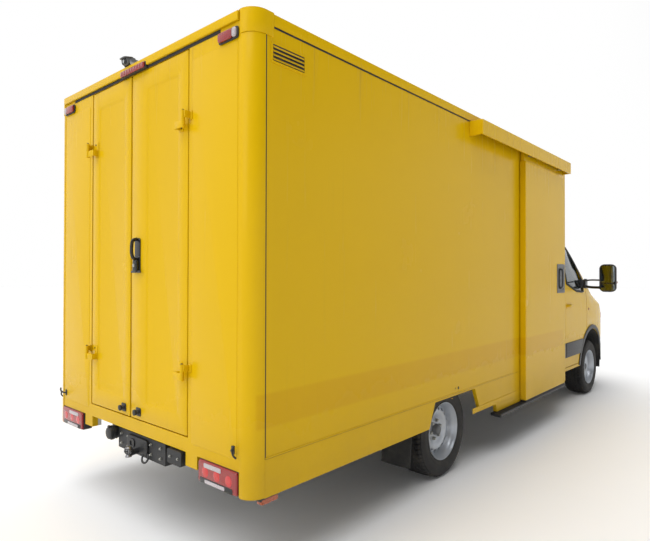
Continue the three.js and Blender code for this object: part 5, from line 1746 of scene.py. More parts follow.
@dataclass
class Cab(Part):
    """The cab's skins and everything fixed to their outside."""

    shop: Finishes
    axle: float = 5.555
    axle_height: float = 0.356
    arch: float = 0.475
    nose: float = 6.559

    def build(self) -> None:
        """Makes the skins, then each region's fittings."""
        refined("cab_body", self.shop.paint_cab, 0.0025, 30.0)
        refined("bonnet", self.shop.paint_all, 0.0025, 30.0)
        refined("grille", self.shop.plastic, 0.002, 30.0)
        refined("front_bumper", self.shop.plastic, 0.003, 30.0)
        refined("windscreen", self.shop.glass, 0.0, 40.0)
        self.shell = Caster("cab_body", "cab_door_right", "cab_glass_right", "bonnet", "windscreen", "grille",
                            "front_bumper", "headlight_right")
        for side, word in ((1, "right"), (-1, "left")):
            refined(f"cab_door_{word}", self.shop.paint_all, 0.0025, 30.0)
            refined(f"cab_glass_{word}", self.shop.glass, 0.001, 40.0)
            self.make_door_trim(side, f"cab_door_{word}")
            self.make_mirror(side, word)
            self.make_headlamp(side, word)
        self.make_arches()
        self.make_front()
        self.make_screen()
        self.make_roof()

    def side_path(self, points: Array, proud: float) -> Array:
        """Side points (y, z) laid on the cab's right side."""
        start = np.column_stack([np.full(len(points), 1.6), points])
        return self.shell.onto(start, (-1, 0, 0), proud)

    def front_path(self, points: Array, proud: float) -> Array:
        """Front points (x, z) laid on the nose."""
        start = np.column_stack([points[:, 0], np.full(len(points), 7.5), points[:, 1]])
        return self.shell.onto(start, (0, -1, 0), proud)

    def make_arches(self) -> None:
        """A black lip round each front wheel opening and rub strips behind it."""
        turn = np.radians(np.linspace(9.5, 170.5, 72))
        ring = self.axle + (self.arch + 0.026) * np.cos(turn), self.axle_height + (self.arch + 0.026) * np.sin(turn)
        path = self.side_path(np.column_stack(ring), 0.0035)
        lip = strip(path, 0.048, 0.011, (1, 0, 0))
        inner = strip(path + np.column_stack([np.full(72, -0.012), -0.022 * np.cos(turn),
                                              -0.022 * np.sin(turn)]),
                      0.008, 0.026, (1, 0, 0))
        make("front_arch_lips", (lip + inner).both(), self.shop.plastic)
        self.make_liners()
        outline = [(4.4700, 0.582), (4.5330, 0.582), (4.5330, 0.742), (4.4700, 0.742)]
        stub = slab(np.array(outline), 0.9950, 1.0050, 0.003, Axis.X)
        make("cab_rub_strip_stubs", stub.both(), self.shop.plastic)
        side_lamp = bowl((0.0, 0.0, 0.0), (0.007, 0.017), 0, 1, 6, 24)
        at = self.side_path(np.array([[5.420, 1.080]]), 0.0)[0]
        make("side_repeaters", side_lamp.moved(*at).both(), self.shop.amber)

    def make_liners(self) -> None:
        """Black plastic liners in the front wheel openings: a ribbed half drum under each wing.

        The radius is constant but for a small sine along the axle, which makes the ribs.
        """
        turn = np.radians(np.linspace(4.0, 176.0, 60))
        x = np.linspace(0.700, 0.978, 48)
        wave = 0.0016 * np.sin(x * 2 * np.pi / 0.035)
        rows = []
        for depth in (0.0, 0.003):
            radius = (self.arch - 0.0045 - depth + wave)[:, None] * np.ones_like(turn)
            rows.append(np.stack([np.repeat(x[:, None], len(turn), 1), self.axle + radius * np.cos(turn),
                                  self.axle_height + radius * np.sin(turn)], axis=-1))
        around = [np.concatenate([s[0], s[1:, -1], s[-1, -2::-1], s[-2:0:-1, 0]]) for s in rows]
        liner = grid(rows[0]) + grid(rows[1]) + grid(np.array(around), ring=True)
        make("front_arch_liners", liner.both(), self.shop.flap, sharp=60)

    def make_door_trim(self, side: int, body: str) -> None:
        """Rub strip, window seal, waist moulding and handle of one door.

        The seal lies on a surface fitted by least squares to the door round the window: a plane plus
        the square of the height.
        """
        outline = np.array([(4.553, 0.582), (5.066, 0.582), (5.085, 0.610), (5.125, 0.665), (5.176, 0.742),
                            (4.553, 0.742)])
        rub = slab(outline, 0.9940, 1.0055, 0.0035, Axis.X, 3)
        line = slab(np.array([(4.560, 0.646), (5.090, 0.646), (5.094, 0.652), (4.560, 0.652)]), 1.0052,
                    1.0070,
                    0.0008, Axis.X, 1)
        window = [(4.623, 1.398), (4.960, 1.310), (5.240, 1.290), (5.240, 1.420), (4.765, 1.962),
                  (4.623, 1.962)]
        opening_edge = resampled(window, 0.018)
        middle = opening_edge.mean(0)
        rim = self.side_path(middle + (opening_edge - middle) * 1.16, 0.0)
        basis = np.column_stack([np.ones(len(rim)), rim[:, 1], rim[:, 2], rim[:, 2] ** 2])
        fit = np.linalg.lstsq(basis, rim[:, 0], rcond=None)[0]
        y, z = opening_edge.T
        path = np.column_stack([np.column_stack([np.ones(len(y)), y, z, z ** 2]) @ fit, y, z])
        seal = hoop(path, 0.026, 0.010, (1, 0, 0))
        make(f"{body}_window_seal", on_side(seal, side), self.shop.seal, body)
        handle_y, handle_z = 4.662, 1.150
        x = float(self.side_path(np.array([[handle_y, handle_z]]), 0.0)[0, 0])
        cup = stepped([(rect(handle_y - 0.095, handle_y + 0.095, handle_z - 0.032, handle_z + 0.032, 0.03),
                        x - 0.003),
                       (rect(handle_y - 0.095, handle_y + 0.095, handle_z - 0.032, handle_z + 0.032, 0.03),
                        x + 0.003),
                       (rect(handle_y - 0.090, handle_y + 0.090, handle_z - 0.027, handle_z + 0.027, 0.026),
                        x + 0.004),
                       (rect(handle_y - 0.078, handle_y + 0.078, handle_z - 0.018, handle_z + 0.018, 0.018),
                        x + 0.001)], Axis.X)
        grip = tube(smooth_path([(x + 0.002, handle_y - 0.080, handle_z),
                                 (x + 0.024, handle_y - 0.055, handle_z),
                                 (x + 0.029, handle_y, handle_z), (x + 0.024, handle_y + 0.055, handle_z),
                                 (x + 0.002, handle_y + 0.080, handle_z)], 30), 0.0085, 12, (0, 0, 1),
                    np.array([(math.cos(t) * 0.8, math.sin(t) * 1.5)
                              for t in np.linspace(0, 2 * math.pi, 14, endpoint=False)]))
        make(f"{body}_rub_strip", on_side(rub + line, side), self.shop.plastic, body)
        make(f"{body}_handle", on_side(cup + grip, side), self.shop.paint_all, body)
        lining = draped(Caster("cab_door_right"), (4.62, 0.56, 0.2), (5.08, 1.24, 0.2), Axis.X, (1, 0, 0),
                        0.0085,
                        0.007, (14, 14))
        make(f"{body}_lining", on_side(lining, side), self.shop.dash, body)

    def make_mirror(self, side: int, word: str) -> None:
        """A tall mirror head on two arms, with a main and a wide-angle glass and a small lamp."""
        body, y = f"cab_door_{word}", 5.225
        outline = rect(1.172, 1.350, 1.298, 1.620, 0.055, 8)
        rows = [(inset(outline, 0.012), y - 0.036), (inset(outline, 0.007), y - 0.040),
                (inset(outline, 0.002), y - 0.039),
                (outline, y - 0.034), (inset(outline, 0.001), y), (inset(outline, 0.007), y + 0.028),
                (inset(outline, 0.020), y + 0.050), (inset(outline, 0.040), y + 0.060)]
        head = stepped(rows, Axis.Y)
        foot = block((1.001, y - 0.045, 1.335), (1.026, y + 0.045, 1.450), 0.008, Axis.X, 0.018, 3)
        base = block((0.940, y - 0.040, 1.345), (1.004, y + 0.040, 1.440), 0.006, Axis.X, 0.014, 3)
        lower = strip(smooth_path([(1.012, y, 1.360), (1.080, y + 0.002, 1.350), (1.200, y + 0.004, 1.348)],
                                  16),
                      0.026, 0.030, (0, 0, 1))
        upper = tube(smooth_path([(1.012, y, 1.428), (1.080, y + 0.002, 1.436), (1.200, y + 0.004, 1.434)],
                                 16),
                     0.0095, 12)
        collar = revolved([(0, 0.0), (0, 0.018), (0.022, 0.018), (0.022, 0.0)], 20, 0).moved(1.160,
                                                                                             y + 0.004, 1.349)
        piece = make(f"mirror_{word}_housing", on_side(head + foot + lower + upper + collar, side),
                     self.shop.gloss_black, body)
        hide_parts(f"mirror_{word}")
        make(f"mirror_{word}_base", on_side(base, side), self.shop.plastic, body)
        main = slab(rect(1.187, 1.335, 1.404, 1.604, 0.030, 6), y - 0.0385, y - 0.0362, 0.0008, Axis.Y)
        wide = slab(rect(1.187, 1.335, 1.314, 1.394, 0.022, 6), y - 0.0385, y - 0.0362, 0.0008, Axis.Y)
        # The glass's dark colour is a painted reflection.
        make(f"mirror_{word}_glass", on_side(main + wide, side), self.shop.mirror, body)
        lamp = block((1.300, y + 0.020, 1.395), (1.3495, y + 0.046, 1.425), 0.006, Axis.Y, 0.010)
        make(f"mirror_{word}_lamp", on_side(lamp, side), self.shop.amber, body)

    def make_headlamp(self, side: int, word: str) -> None:
        """The clear lens, two reflector bowls behind it, bulbs, and an amber corner."""
        refined(f"headlight_{word}", self.shop.clear, 0.0015, 40.0)
        bowls, bulbs = [], []
        for x, z, size in ((0.640, 0.885, 0.062), (0.775, 0.905, 0.058)):
            face = float(self.front_path(np.array([[x, z]]), 0.0)[0, 1]) - 0.020
            cup = revolved([(0.0, size), (-0.014, size * 0.86), (-0.026, size * 0.5), (-0.031, 0.012),
                            (-0.034, 0.012), (-0.029, size * 0.52), (-0.016, size * 0.92),
                            (-0.002, size * 1.04)],
                           36, 1)
            bowls.append(cup.moved(x, face, z))
            bulbs.append(revolved([(-0.032, 0), (-0.032, 0.010), (-0.012, 0.009), (-0.006, 0.005),
                                   (-0.005, 0)], 18,
                                  1).moved(x, face, z))
        make(f"headlamp_{word}_bowls", on_side(total(bowls), side), self.shop.reflector)
        make(f"headlamp_{word}_bulbs", on_side(total(bulbs), side), self.shop.bezel)
        face = float(self.front_path(np.array([[0.885, 0.960]]), 0.0)[0, 1])
        corner = block((0.862, face - 0.045, 0.915), (0.918, face - 0.018, 1.000), 0.008, Axis.Y, 0.014)
        make(f"headlamp_{word}_indicator", on_side(corner, side), self.shop.amber)

    def make_front(self) -> None:
        """Grille bars, bumper intakes and fog lamps, a blank plate and a seam across the nose."""
        bars = []
        for z in np.linspace(0.805, 0.955, 6):
            half = 0.395 + (z - 0.775) * 0.19
            x = np.linspace(-half, half, 50)
            bars.append(strip(self.front_path(np.column_stack([x, np.full(50, z)]), 0.001), 0.018, 0.013,
                              (0, 1, 0)))
        frame_path = self.front_path(resampled([(-0.432, 0.978), (-0.394, 0.782), (0.394, 0.782),
                                                (0.432, 0.978)],
                                               0.02), 0.001)
        bars.append(hoop(frame_path, 0.016, 0.012, (0, 1, 0)))
        make("grille_bars", total(bars), self.shop.gloss_black)
        slats = []
        for z in np.linspace(0.405, 0.560, 6):
            x = np.linspace(-0.36, 0.36, 44)
            slats.append(strip(self.front_path(np.column_stack([x, np.full(44, z)]), -0.0040), 0.010, 0.008,
                               (0, 1, 0)))
        rim = self.front_path(resampled([(-0.40, 0.582), (-0.40, 0.388), (0.40, 0.388), (0.40, 0.582)],
                                        0.02), -0.0055)
        make("bumper_intake", total(slats) + hoop(rim, 0.014, 0.012, (0, 1, 0)), self.shop.gloss_black)
        fogs, rings = [], []
        at = self.front_path(np.array([[0.62, 0.470]]), 0.0)[0]
        lamp = bowl((0, 0, 0), (0.010, 0.042), 1, 1, 7, 28).moved(*at)
        ring = revolved([(-0.010, 0.044), (0.008, 0.046), (0.010, 0.054), (-0.010, 0.060)], 30, 1).moved(*at)
        fogs.append(lamp.both())
        rings.append(ring.both())
        make("fog_lamps", total(fogs), self.shop.clear)
        make("fog_lamp_rings", total(rings), self.shop.gloss_black)
        y = float(self.front_path(np.array([[0.0, 0.62]]), 0.0)[0, 1])
        plate = block((-0.260, y - 0.006, 0.590), (0.260, min(y + 0.004, self.nose - 0.0005), 0.672),
                      0.0012, Axis.Y,
                      0.006)
        make("front_plate_blank", plate, self.shop.bezel)
        crease = [self.front_path(np.column_stack([np.linspace(-0.60, 0.60, 60), np.full(60, z)]), 0.0)
                  for z in (0.700,)]
        make("nose_seam", total(strip(c, 0.006, 0.003, (0, 1, 0)) for c in crease), self.shop.seal)

    def make_screen(self) -> None:
        """A black border on the windscreen, two wipers and the cowl cover under it."""
        edge = [(-0.806, 1.415), (0.806, 1.415), (0.722, 2.088), (0.680, 2.114), (-0.680, 2.114),
                (-0.722, 2.088)]
        screen = Caster("windscreen")
        flat = resampled(edge, 0.02)
        start = np.column_stack([flat[:, 0], np.full(len(flat), 7.5), flat[:, 1]])
        path = screen.onto(start, (0, -1, 0), 0.0004)
        make("windscreen_border", hoop(path, 0.040, 0.0016, (0, 0.7, 0.7)), self.shop.gloss_black)
        blades, arms = [], []
        for hub, tip, heel in (((-0.42, 1.372), (-0.60, 1.455), (0.02, 1.448)), ((0.22, 1.372), (0.05, 1.470),
                                                                              (0.62, 1.440))):
            run = np.column_stack([np.linspace(tip[0], heel[0], 30), np.linspace(tip[1], heel[1], 30)])
            start = np.column_stack([run[:, 0], np.full(30, 7.5), run[:, 1]])
            lay = screen.onto(start, (0, -1, 0), 0.004)
            blades.append(strip(lay, 0.010, 0.012, (0, 0.7, 0.7)))
            mid = lay[15] + np.array([0, 0.014, 0.012])
            root = np.array([hub[0], 5.690, 1.378])
            arms.append(strip(smooth_path([root, root + np.array([0, -0.010, 0.022]), (root + mid) / 2
                                           + np.array([0, 0.010, 0.014]), mid], 24), 0.012, 0.008,
                                           (0, 0.7, 0.7)))
            arms.append(revolved([(0, 0), (0, 0.016), (0.012, 0.014), (0.016, 0.008), (0.016, 0)], 20,
                                 2).moved(
                *(root + np.array([0, 0, -0.012]))))
        make("wiper_blades", total(blades), self.shop.seal)
        make("wiper_arms", total(arms), self.shop.plastic)
        body = Caster("cab_body", "windscreen", "bonnet")
        cowl = draped(body, (-0.80, 5.668, 1.8), (0.80, 5.712, 1.8), Axis.Z, (0, 0, -1), 0.0030, 0.0028,
                      (60, 6))
        make("cowl_cover", cowl, self.shop.plastic)

    def make_roof(self) -> None:
        """A short aerial, and pressed ribs along the cab's roof."""
        top = Caster("cab_body")
        spot = top.onto(np.array([[0.0, 4.78, 2.6]]), (0, 0, -1), 0.0)[0]
        base = revolved([(0, 0), (0, 0.020), (0.006, 0.018), (0.018, 0.010), (0.022, 0.006), (0.022, 0)],
                        24, 2)
        mast = rod((0, 0, 0.018), (0, -0.050, 0.200), 0.0032, 10)
        make("cab_aerial", (base + mast).moved(*spot), self.shop.plastic)
        ribs = []
        for x in (-0.42, -0.14, 0.14, 0.42):
            run = np.column_stack([np.full(16, x), np.linspace(4.50, 4.80, 16), np.full(16, 2.6)])
            ribs.append(strip(top.onto(run, (0, 0, -1), 0.0006), 0.060, 0.004, (0, 0, 1)))
        make("cab_roof_ribs", total(ribs), self.shop.paint_all)


# ------------------------------------------------------------------ inside the cab
@dataclass
class Interior(Part):
    """Dashboard, steering wheel and the two seats."""

    shop: Finishes
    seat_from: float = 4.620
    seat_x: float = 0.470

    def build(self) -> None:
        """Makes the dashboard, the wheel and both seats."""
        refined("dashboard", self.shop.dash, 0.004, 30.0)
        self.make_dash_fittings()
        self.make_wheel()
        for side, word in ((-1, "driver"), (1, "passenger")):
            self.make_seat(side, word)

    def make_dash_fittings(self) -> None:
        """Instrument hood, air vents, a blank screen, switches, the gear lever and the glove box lid."""
        x, y, z = -self.seat_x, 5.400, 1.300
        outline = np.array([(-0.17, 0.0), (0.17, 0.0), (0.175, 0.055), (0.13, 0.085), (0, 0.095),
                            (-0.13, 0.085),
                            (-0.175, 0.055)]) + np.array([x, z])
        hood = slab(outline, y - 0.075, y + 0.060, 0.012, Axis.Y, 3)
        dials = total(revolved([(0, 0), (0, size), (-0.006, size), (-0.008, size * 0.94),
                                (-0.003, size * 0.9),
                                (-0.003, 0)], 36, 1).moved(x + at, y - 0.075, z + 0.045)
                      for at, size in ((-0.085, 0.036), (0.0, 0.030), (0.085, 0.036)))
        vents, bars = [], []
        for centre in (-0.80, -0.12, 0.12, 0.80):
            vents.append(block((centre - 0.055, 5.330, 1.215), (centre + 0.055, 5.346, 1.275), 0.004,
                               Axis.Y, 0.010))
            bars.append(total(block((centre - 0.046, 5.322, h), (centre + 0.046, 5.334, h + 0.004), 0.0015)
                              for h in (1.224, 1.236, 1.248, 1.260)))
        screen = block((-0.105, 5.318, 1.150), (0.105, 5.332, 1.205), 0.003, Axis.Y, 0.008)
        knobs = total(revolved([(0, 0), (-0.0, 0.019), (-0.018, 0.016), (-0.018, 0.0)], 24,
                               1).moved(at, 5.314, 1.118)
                      for at in (-0.07, 0.0, 0.07))
        lever = rod((0.02, 5.30, 1.060), (0.03, 5.225, 1.180), 0.009) + bowl((0.03, 5.222, 1.178),
                                                                             (0.030, 0.025), 2)
        lid = block((0.30, 5.300, 1.060), (0.66, 5.318, 1.170), 0.004, Axis.Y, 0.016)
        handle = block((0.44, 5.292, 1.140), (0.52, 5.303, 1.156), 0.003, Axis.Y, 0.006)
        make("dash_hood", hood, self.shop.dash)
        make("dash_dials", dials, self.shop.gloss_black)
        make("dash_vents", total(vents + bars) + screen, self.shop.gloss_black)
        make("dash_controls", knobs + lever + lid + handle, self.shop.grey_plastic)

    def make_wheel(self) -> None:
        """Rim as a ring whose grip swells at its spokes, three spokes, a padded hub and the column.

        The rim's tube radius is its mean radius plus a cosine of twice the turn.
        """
        turn = np.linspace(0, 2 * np.pi, 72, endpoint=False)
        around = np.linspace(0, 2 * np.pi, 14, endpoint=False)
        thick = 0.0148 + 0.0012 * np.cos(2 * turn)
        points = np.empty((len(turn), len(around), 3))
        wide = 0.2035 + thick[:, None] * np.cos(around)
        points[..., 0] = wide * np.cos(turn)[:, None]
        points[..., 1] = wide * np.sin(turn)[:, None]
        points[..., 2] = thick[:, None] * np.sin(around)
        rim = grid(np.concatenate([points, points[:1]]), ring=True)
        spoke = strip(smooth_path([(0.040, 0, -0.008), (0.110, 0, -0.012), (0.196, 0, 0.0)], 14), 0.030,
                      0.014,
                      (0, 0, 1))
        spokes = total(spoke.turned(2, at) for at in (8.0, 172.0, 270.0))
        pad = revolved([(-0.020, 0), (-0.020, 0.060), (0.004, 0.066), (0.014, 0.056), (0.019, 0.034),
                        (0.021, 0)],
                       40, 2)
        shroud = block((-0.060, -0.045, -0.215), (0.060, 0.055, -0.030), 0.014, Axis.Z, 0.030, 3)
        stalks = rod((-0.05, 0.0, -0.060), (-0.185, 0.010, -0.045), 0.0075) + rod(
            (0.05, 0.0, -0.060), (0.185, 0.010, -0.045), 0.0075)
        grip = (rim + spokes + pad).turned(0, 119.84)
        behind = (shroud + stalks).turned(0, 60.0)
        whole = (grip + behind).moved(-self.seat_x, 5.130, 1.245)
        piece = make("steering_wheel_grip", whole, self.shop.dash, sharp=40)
        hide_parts("steering_wheel")

    def cushion(self, size: Sequence[float], centre: Sequence[float], tilt: float, bolster: float) -> Shell:
        """A crowned closed form whose sides pull in between its corners.

        Its outline is a superellipse in plan; its thickness falls to the seam round its edge by the
        fourth root of the distance from it, side bolsters add a bump near the sides, and sewn channels
        are narrow dips across it.

        Args:
            size: Width, length and thickness.
            centre: Its middle.
            tilt: Turn about the cross axis, in degrees.
            bolster: How much the sides stand over the middle.

        Returns:
            The closed shell.
        """
        w, l, t = size
        turn = np.linspace(0, 2 * np.pi, 96, endpoint=False)
        share = np.sin(np.linspace(0, np.pi / 2, 26))
        c, s = np.cos(turn), np.sin(turn)
        edge_x = np.sign(c) * np.abs(c) ** 0.42
        edge_y = np.sign(s) * np.abs(s) ** 0.42
        pull = 1 - 0.022 * np.cos(2 * turn) ** 2
        u = share[:, None] * (edge_x * pull)[None]
        v = share[:, None] * (edge_y * pull)[None]
        falloff = np.clip(1 - share ** 4, 0, 1)[:, None] ** 0.42 * np.ones_like(u)
        crown = 0.80 + 0.20 * (1 - u ** 2) * (1 - v ** 2)
        side_swell = bolster * np.exp(-((np.abs(u) - 0.80) / 0.12) ** 2)
        seams = sum(np.exp(-((v - at) / 0.022) ** 2) for at in (-0.50, -0.17, 0.17,
                                                                0.50)) * (np.abs(u) < 0.62)
        seams = seams + np.exp(-((np.abs(u) - 0.64) / 0.020) ** 2) * (np.abs(v) < 0.86)
        top = t / 2 * falloff * (crown + side_swell) - 0.0065 * seams * falloff
        low = -t / 2 * falloff * 0.80
        upper = np.stack([u * w / 2, v * l / 2, top], axis=-1)
        lower = np.stack([u * w / 2, v * l / 2, low], axis=-1)[::-1]
        points = np.concatenate([upper, lower[1:]])
        shell = grid(points, ring=True)
        return shell.turned(0, tilt).moved(*centre)

    def make_seat(self, side: int, word: str) -> None:
        """Cushion, back and head rest as separate padded pieces on a moulded base with rails."""
        x, f = side * self.seat_x, self.seat_from
        cushion = self.cushion((0.452, 0.470, 0.130), (x, f + 0.245, 1.052), 3.0, 0.11)
        back = self.cushion((0.446, 0.585, 0.105), (x, f + 0.058, 1.395), 80.5, 0.12)
        head = self.cushion((0.262, 0.180, 0.092), (x, f + 0.000, 1.786), 80.5, 0.05)
        seat = make(f"{word}_seat_cushion", cushion, self.shop.cloth, sharp=180,
                    merge=1e-5)
        rear = make(f"{word}_seat_back", back, self.shop.cloth, sharp=180, merge=1e-5)
        top = make(f"{word}_head_rest", head, self.shop.cloth, sharp=180, merge=1e-5)
        shell = block((x - 0.215, f - 0.048, 1.080), (x + 0.215, f + 0.012, 1.640), 0.018, Axis.Y, 0.06, 3)
        shell = shell.turned(0, -9.0 + 5.0, (x, f, 1.08))
        posts = total(rod((x + at, f + 0.012, 1.640), (x + at, f - 0.002, 1.760), 0.006) for at in (-0.055,
                                                                                                    0.055))
        base = block((x - 0.205, f + 0.030, 0.692), (x + 0.205, f + 0.370, 0.975), 0.012, Axis.X, 0.04, 3)
        rails = total(block((x + at - 0.018, f - 0.02, 0.975), (x + at + 0.018, f + 0.42, 1.000), 0.004)
                      for at in (-0.16, 0.16))
        recline = revolved([(0, 0), (0, 0.040), (0.018, 0.036), (0.022, 0.0)], 28, 0).moved(
            x + 0.206, f + 0.045, 1.075)
        frame_piece = make(f"{word}_seat_frame", shell + base + recline, self.shop.dash)
        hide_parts(f"{word}_seat")
        make(f"{word}_seat_rails", rails + posts, self.shop.zinc)
        belt = strip(smooth_path([(x + side * 0.262, f - 0.055, 1.700), (x + side * 0.262, f - 0.045, 1.250),
                                  (x + side * 0.258, f - 0.030, 0.720)], 30), 0.046, 0.0022, (0, 1, 0))
        buckle = block((x - side * 0.232 - 0.010, f + 0.09, 0.99),
                       (x - side * 0.232 + 0.010, f + 0.13, 1.12), 0.006)
        make(f"{word}_belt", belt, self.shop.seal)
        make(f"{word}_buckle", buckle, self.shop.gloss_black)


# ------------------------------------------------------------------ underneath
@dataclass
class Underbody(Part):
    """Chassis frame, axle, engine, tank and exhaust with the pieces that hang on them."""

    shop: Finishes
    rear: float = 1.890

    def build(self) -> None:
        """Softens the solids and adds springs, straps, clamps and lines."""
        refined("chassis_frame", self.shop.chassis, 0.003, 30.0)
        refined("rear_axle", self.shop.chassis, 0.002, 34.0)
        refined("engine_block", self.shop.casting, 0.012, 30.0)
        refined("fuel_tank", self.shop.plastic, 0.004, 34.0)
        refined("exhaust", self.shop.exhaust, 0.0, 40.0)
        self.make_springs()
        self.make_tank_straps()
        self.make_exhaust_fittings()
        self.make_engine_details()
        self.make_lines()

    def make_springs(self) -> None:
        """Leaf edges, U-bolts and their plate round the rear springs, and the shock absorbers."""
        leaves = []
        for rank, share in enumerate((0.62, 0.44, 0.27)):
            y = np.linspace(-0.625, 0.625, 30) * share
            drop = 0.375 - 0.0855 * (1 - (y / 0.625) ** 2) * 1.0 + 0.0855 - 0.006 - rank * 0.010
            run = np.column_stack([np.full(30, 0.630), self.rear + y, drop])
            leaves.append(strip(run, 0.056, 0.009, (0, 0, 1)))
        bolts = []
        for at in (-0.055, 0.055):
            bolts.append(tube(smooth_path([(0.592, self.rear + at, 0.275), (0.592, self.rear + at, 0.420),
                                           (0.630, self.rear + at, 0.452), (0.668, self.rear + at, 0.420),
                                           (0.668, self.rear + at, 0.275)], 34), 0.0065, 10, (0, 1, 0)))
            bolts.append(hex_heads(np.array([(x, self.rear + at, 0.277) for x in (0.592, 0.668)]), 0.014,
                                   0.010, 2,
                                   -1))
        plate = block((0.580, self.rear - 0.075, 0.284), (0.680, self.rear + 0.075, 0.296), 0.003)
        damper = rod((0.560, self.rear - 0.110, 0.300), (0.520, self.rear - 0.200, 0.560), 0.026, 20) + rod(
            (0.565, self.rear - 0.100, 0.275), (0.560, self.rear - 0.110, 0.300), 0.011, 12)
        make("spring_leaves", (total(leaves) + plate).both(), self.shop.chassis)
        make("spring_bolts", total(bolts).both(), self.shop.zinc)
        make("rear_dampers", damper.both(), self.shop.chassis)

    def make_tank_straps(self) -> None:
        """Two steel straps round the tank, and ribs under it."""
        low, high = drawn("fuel_tank")
        outline = rounded_rect(high[0] - low[0] + 0.006, high[2] - low[2] + 0.006, 0.062, 6)
        outline = outline + np.array([(high[0] + low[0]) / 2, (high[2] + low[2]) / 2])
        straps = []
        for y in (low[1] + 0.20, high[1] - 0.20):
            straps.append(band_ring(outline, inset(outline, 0.0028), y - 0.020, y + 0.020, Axis.Y, 0.0006))
        ribs = total(block((low[0] + 0.070, y - 0.012, low[2] - 0.0015),
                           (high[0] - 0.070, y + 0.012, low[2] + 0.004),
                           0.0012) for y in np.linspace(low[1] + 0.06, high[1] - 0.06, 9))
        make("tank_straps", total(straps), self.shop.zinc)
        make("tank_ribs", ribs, self.shop.plastic)

    def make_exhaust_fittings(self) -> None:
        """Muffler seams, pipe clamps and their hanger rods."""
        low, high = 2.900, 3.500
        outline = rounded_rect(0.174, 0.164, 0.070, 7) + np.array([0.495, 0.450])
        seams = total(band_ring(outline, inset(outline, 0.006), y - 0.007, y + 0.007, Axis.Y, 0.002)
                      for y in (low + 0.010, high - 0.010))
        clamps = []
        for y, z, x in ((2.450, 0.475, 0.490), (1.450, 0.485, 0.490), (3.760, 0.450, 0.490)):
            clamps.append(revolved([(-0.016, 0.0285), (-0.016, 0.0320), (0.016, 0.0320), (0.016, 0.0285)], 28,
                                   1).moved(x, y, z))
            clamps.append(rod((x, y, z + 0.030), (x - 0.050, y, 0.560), 0.006))
        make("exhaust_seams", seams, self.shop.exhaust)
        make("exhaust_hangers", total(clamps), self.shop.zinc)

    def make_engine_details(self) -> None:
        """A finned sump, a ribbed cam cover and three belt pulleys, all plain shapes."""
        low, high = drawn("engine_block")
        y0, y1 = low[1], high[1]
        fins = total(block((low[0] + 0.04, y, low[2] - 0.030), (high[0] - 0.04, y + 0.010, low[2] + 0.004),
                           0.002)
                     for y in np.linspace(y0 + 0.06, y1 - 0.08, 12))
        cover = total(block((-0.16, y, high[2] - 0.002), (0.16, y + 0.022, high[2] + 0.014), 0.005)
                      for y in np.linspace(y0 + 0.05, y1 - 0.07, 8))
        pulleys = total(revolved([(0, 0), (0, size), (0.006, size), (0.012, size - 0.008), (0.018, size),
                                  (0.024, size), (0.024, 0)], 36, 1).moved(x, y1, z)
                        for x, z, size in ((0.0, low[2] + 0.13, 0.075), (0.13, low[2] + 0.30, 0.045),
                                           (-0.14, low[2] + 0.34, 0.040)))
        make("engine_fins", fins + cover, self.shop.casting)
        make("engine_pulleys", pulleys, self.shop.disc)

    def make_lines(self) -> None:
        """Brake and fuel lines along the left rail with clips, and a cable on the right."""
        rail = 0.4275
        lines = []
        for k, x in enumerate((-rail - 0.030, -rail - 0.044)):
            run = smooth_path([(x, 1.30, 0.590), (x, 2.20, 0.592), (x, 3.40, 0.588), (x, 4.60, 0.592),
                               (x, 5.35, 0.590)], 60)
            lines.append(tube(run, 0.0042 + 0.001 * k, 8))
        loom = smooth_path([(rail + 0.034, 0.30, 0.600), (rail + 0.034, 1.00, 0.596),
                            (rail + 0.036, 3.20, 0.600),
                            (rail + 0.034, 5.20, 0.598)], 60)
        clips = total(block((-rail - 0.052, y, 0.580), (-rail - 0.020, y + 0.016, 0.604), 0.002)
                      for y in np.linspace(1.4, 5.2, 9))
        make("brake_lines", total(lines), self.shop.zinc)
        make("wiring_loom", tube(loom, 0.009, 10) + clips, self.shop.seal)


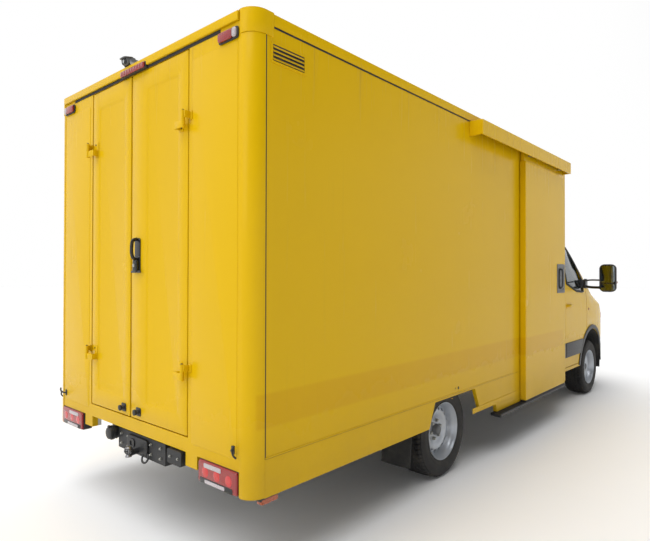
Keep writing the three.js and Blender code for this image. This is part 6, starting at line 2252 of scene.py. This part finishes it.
# ------------------------------------------------------------------ the studio
@dataclass
class Studio:
    """Floor, lights and camera."""

    eye: tuple[float, float, float] = (2.873, -1.581, 1.486)
    heading: float = 41.438
    tilt: float = 90.507
    roll: float = -0.123
    focal_share: float = 530.44 / 650.0
    sensor: float = 36.0
    key_energy: float = 110.0
    top_energy: float = 1.5
    sky: float = 1.0
    dim: float = 0.06

    def build(self) -> None:
        """Makes the floor, the world, the lights and the camera."""
        self.make_floor()
        self.make_lights()
        self.make_camera()

    def make_floor(self) -> None:
        """A wide pale floor."""
        tree = Tree("studio_floor")
        cloud = tree.noise(1.3, 2.0)
        pale = tree.blend(cloud, (0.92, 0.92, 0.92), (0.94, 0.94, 0.94))
        paper = tree.finish(Base_Color=pale, Roughness=0.85)
        reach = 60.0
        mesh = bpy.data.meshes.new("studio_floor")
        mesh.from_pydata([(-reach, -reach, 0), (reach, -reach, 0), (reach, reach, 0), (-reach, reach, 0)], [],
                         [(0, 1, 2, 3)])
        mesh.materials.append(paper)
        floor = bpy.data.objects.new("studio_floor", mesh)
        bpy.context.scene.collection.objects.link(floor)

    def make_lights(self) -> None:
        """A white sky that is dimmer high on the right, a large key behind, and a soft top light."""
        bpy.context.scene.view_settings.view_transform = "Standard"
        world = bpy.data.worlds.new("studio")
        bpy.context.scene.world = world
        world.use_nodes = True
        nodes, links = world.node_tree.nodes, world.node_tree.links
        sky = nodes["Background"]
        sky.inputs["Color"].default_value = (1.0, 1.0, 1.0, 1.0)
        way = nodes.new("ShaderNodeTexCoord")
        split = nodes.new("ShaderNodeSeparateXYZ")
        falls = []
        for axis, low, high in (("X", -0.25, 0.8), ("Z", 0.16, 0.42)):
            fall = nodes.new("ShaderNodeMapRange")
            fall.interpolation_type = "SMOOTHSTEP"
            fall.inputs["From Min"].default_value, fall.inputs["From Max"].default_value = low, high
            links.new(split.outputs[axis], fall.inputs["Value"])
            falls.append(fall.outputs["Result"])
        shade = nodes.new("ShaderNodeMath")
        shade.operation = "MULTIPLY"
        for k, fall in enumerate(falls):
            links.new(fall, shade.inputs[k])
        strength = nodes.new("ShaderNodeMapRange")
        strength.inputs["To Min"].default_value, strength.inputs["To Max"].default_value = self.sky, self.dim
        links.new(way.outputs["Generated"], split.inputs[0])
        links.new(shade.outputs[0], strength.inputs["Value"])
        links.new(strength.outputs["Result"], sky.inputs["Strength"])
        for name, kind, spot, aim, size, energy in [
            ("key", "AREA", (-1.0, -12.0, 5.5), (0.0, -3.2, 1.4), 5.0, self.key_energy),
            ("top", "SUN", (0.3, -3.6, 8.0), (0.0, 0.0, 0.0), math.radians(50.0), self.top_energy),
        ]:
            lamp = bpy.data.lights.new(name, kind)
            if kind == "SUN":
                lamp.angle = size
            else:
                lamp.size = size
            lamp.energy = energy
            holder = bpy.data.objects.new(name, lamp)
            holder.location = spot
            holder.rotation_euler = (Vector(aim) - Vector(spot)).to_track_quat("-Z", "Y").to_euler()
            bpy.context.scene.collection.objects.link(holder)

    def make_camera(self) -> None:
        """A camera at eye height, close to the rear right corner."""
        lens = bpy.data.cameras.new("camera")
        lens.sensor_width = self.sensor
        lens.lens = self.sensor * self.focal_share
        camera = bpy.data.objects.new("camera", lens)
        camera.location = tuple(np.array(self.eye) + DATUM)
        camera.rotation_euler = (math.radians(self.tilt), math.radians(self.roll), math.radians(self.heading))
        bpy.context.scene.collection.objects.link(camera)
        bpy.context.scene.camera = camera


def main() -> None:
    """Builds every sub-assembly in order, then the studio round them."""
    logging.basicConfig(level=logging.INFO, format="%(message)s")
    shop = Finishes()
    for part in (LoadBox(shop), RearDoors(shop), RearLamps(shop), TowBar(shop), SideDoor(shop), Wheels(shop),
                 Cab(shop), Interior(shop), Underbody(shop)):
        LOG.info("building %s", type(part).__name__)
        part.build()
    Studio().build()
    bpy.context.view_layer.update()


if __name__ == "__main__":
    main()
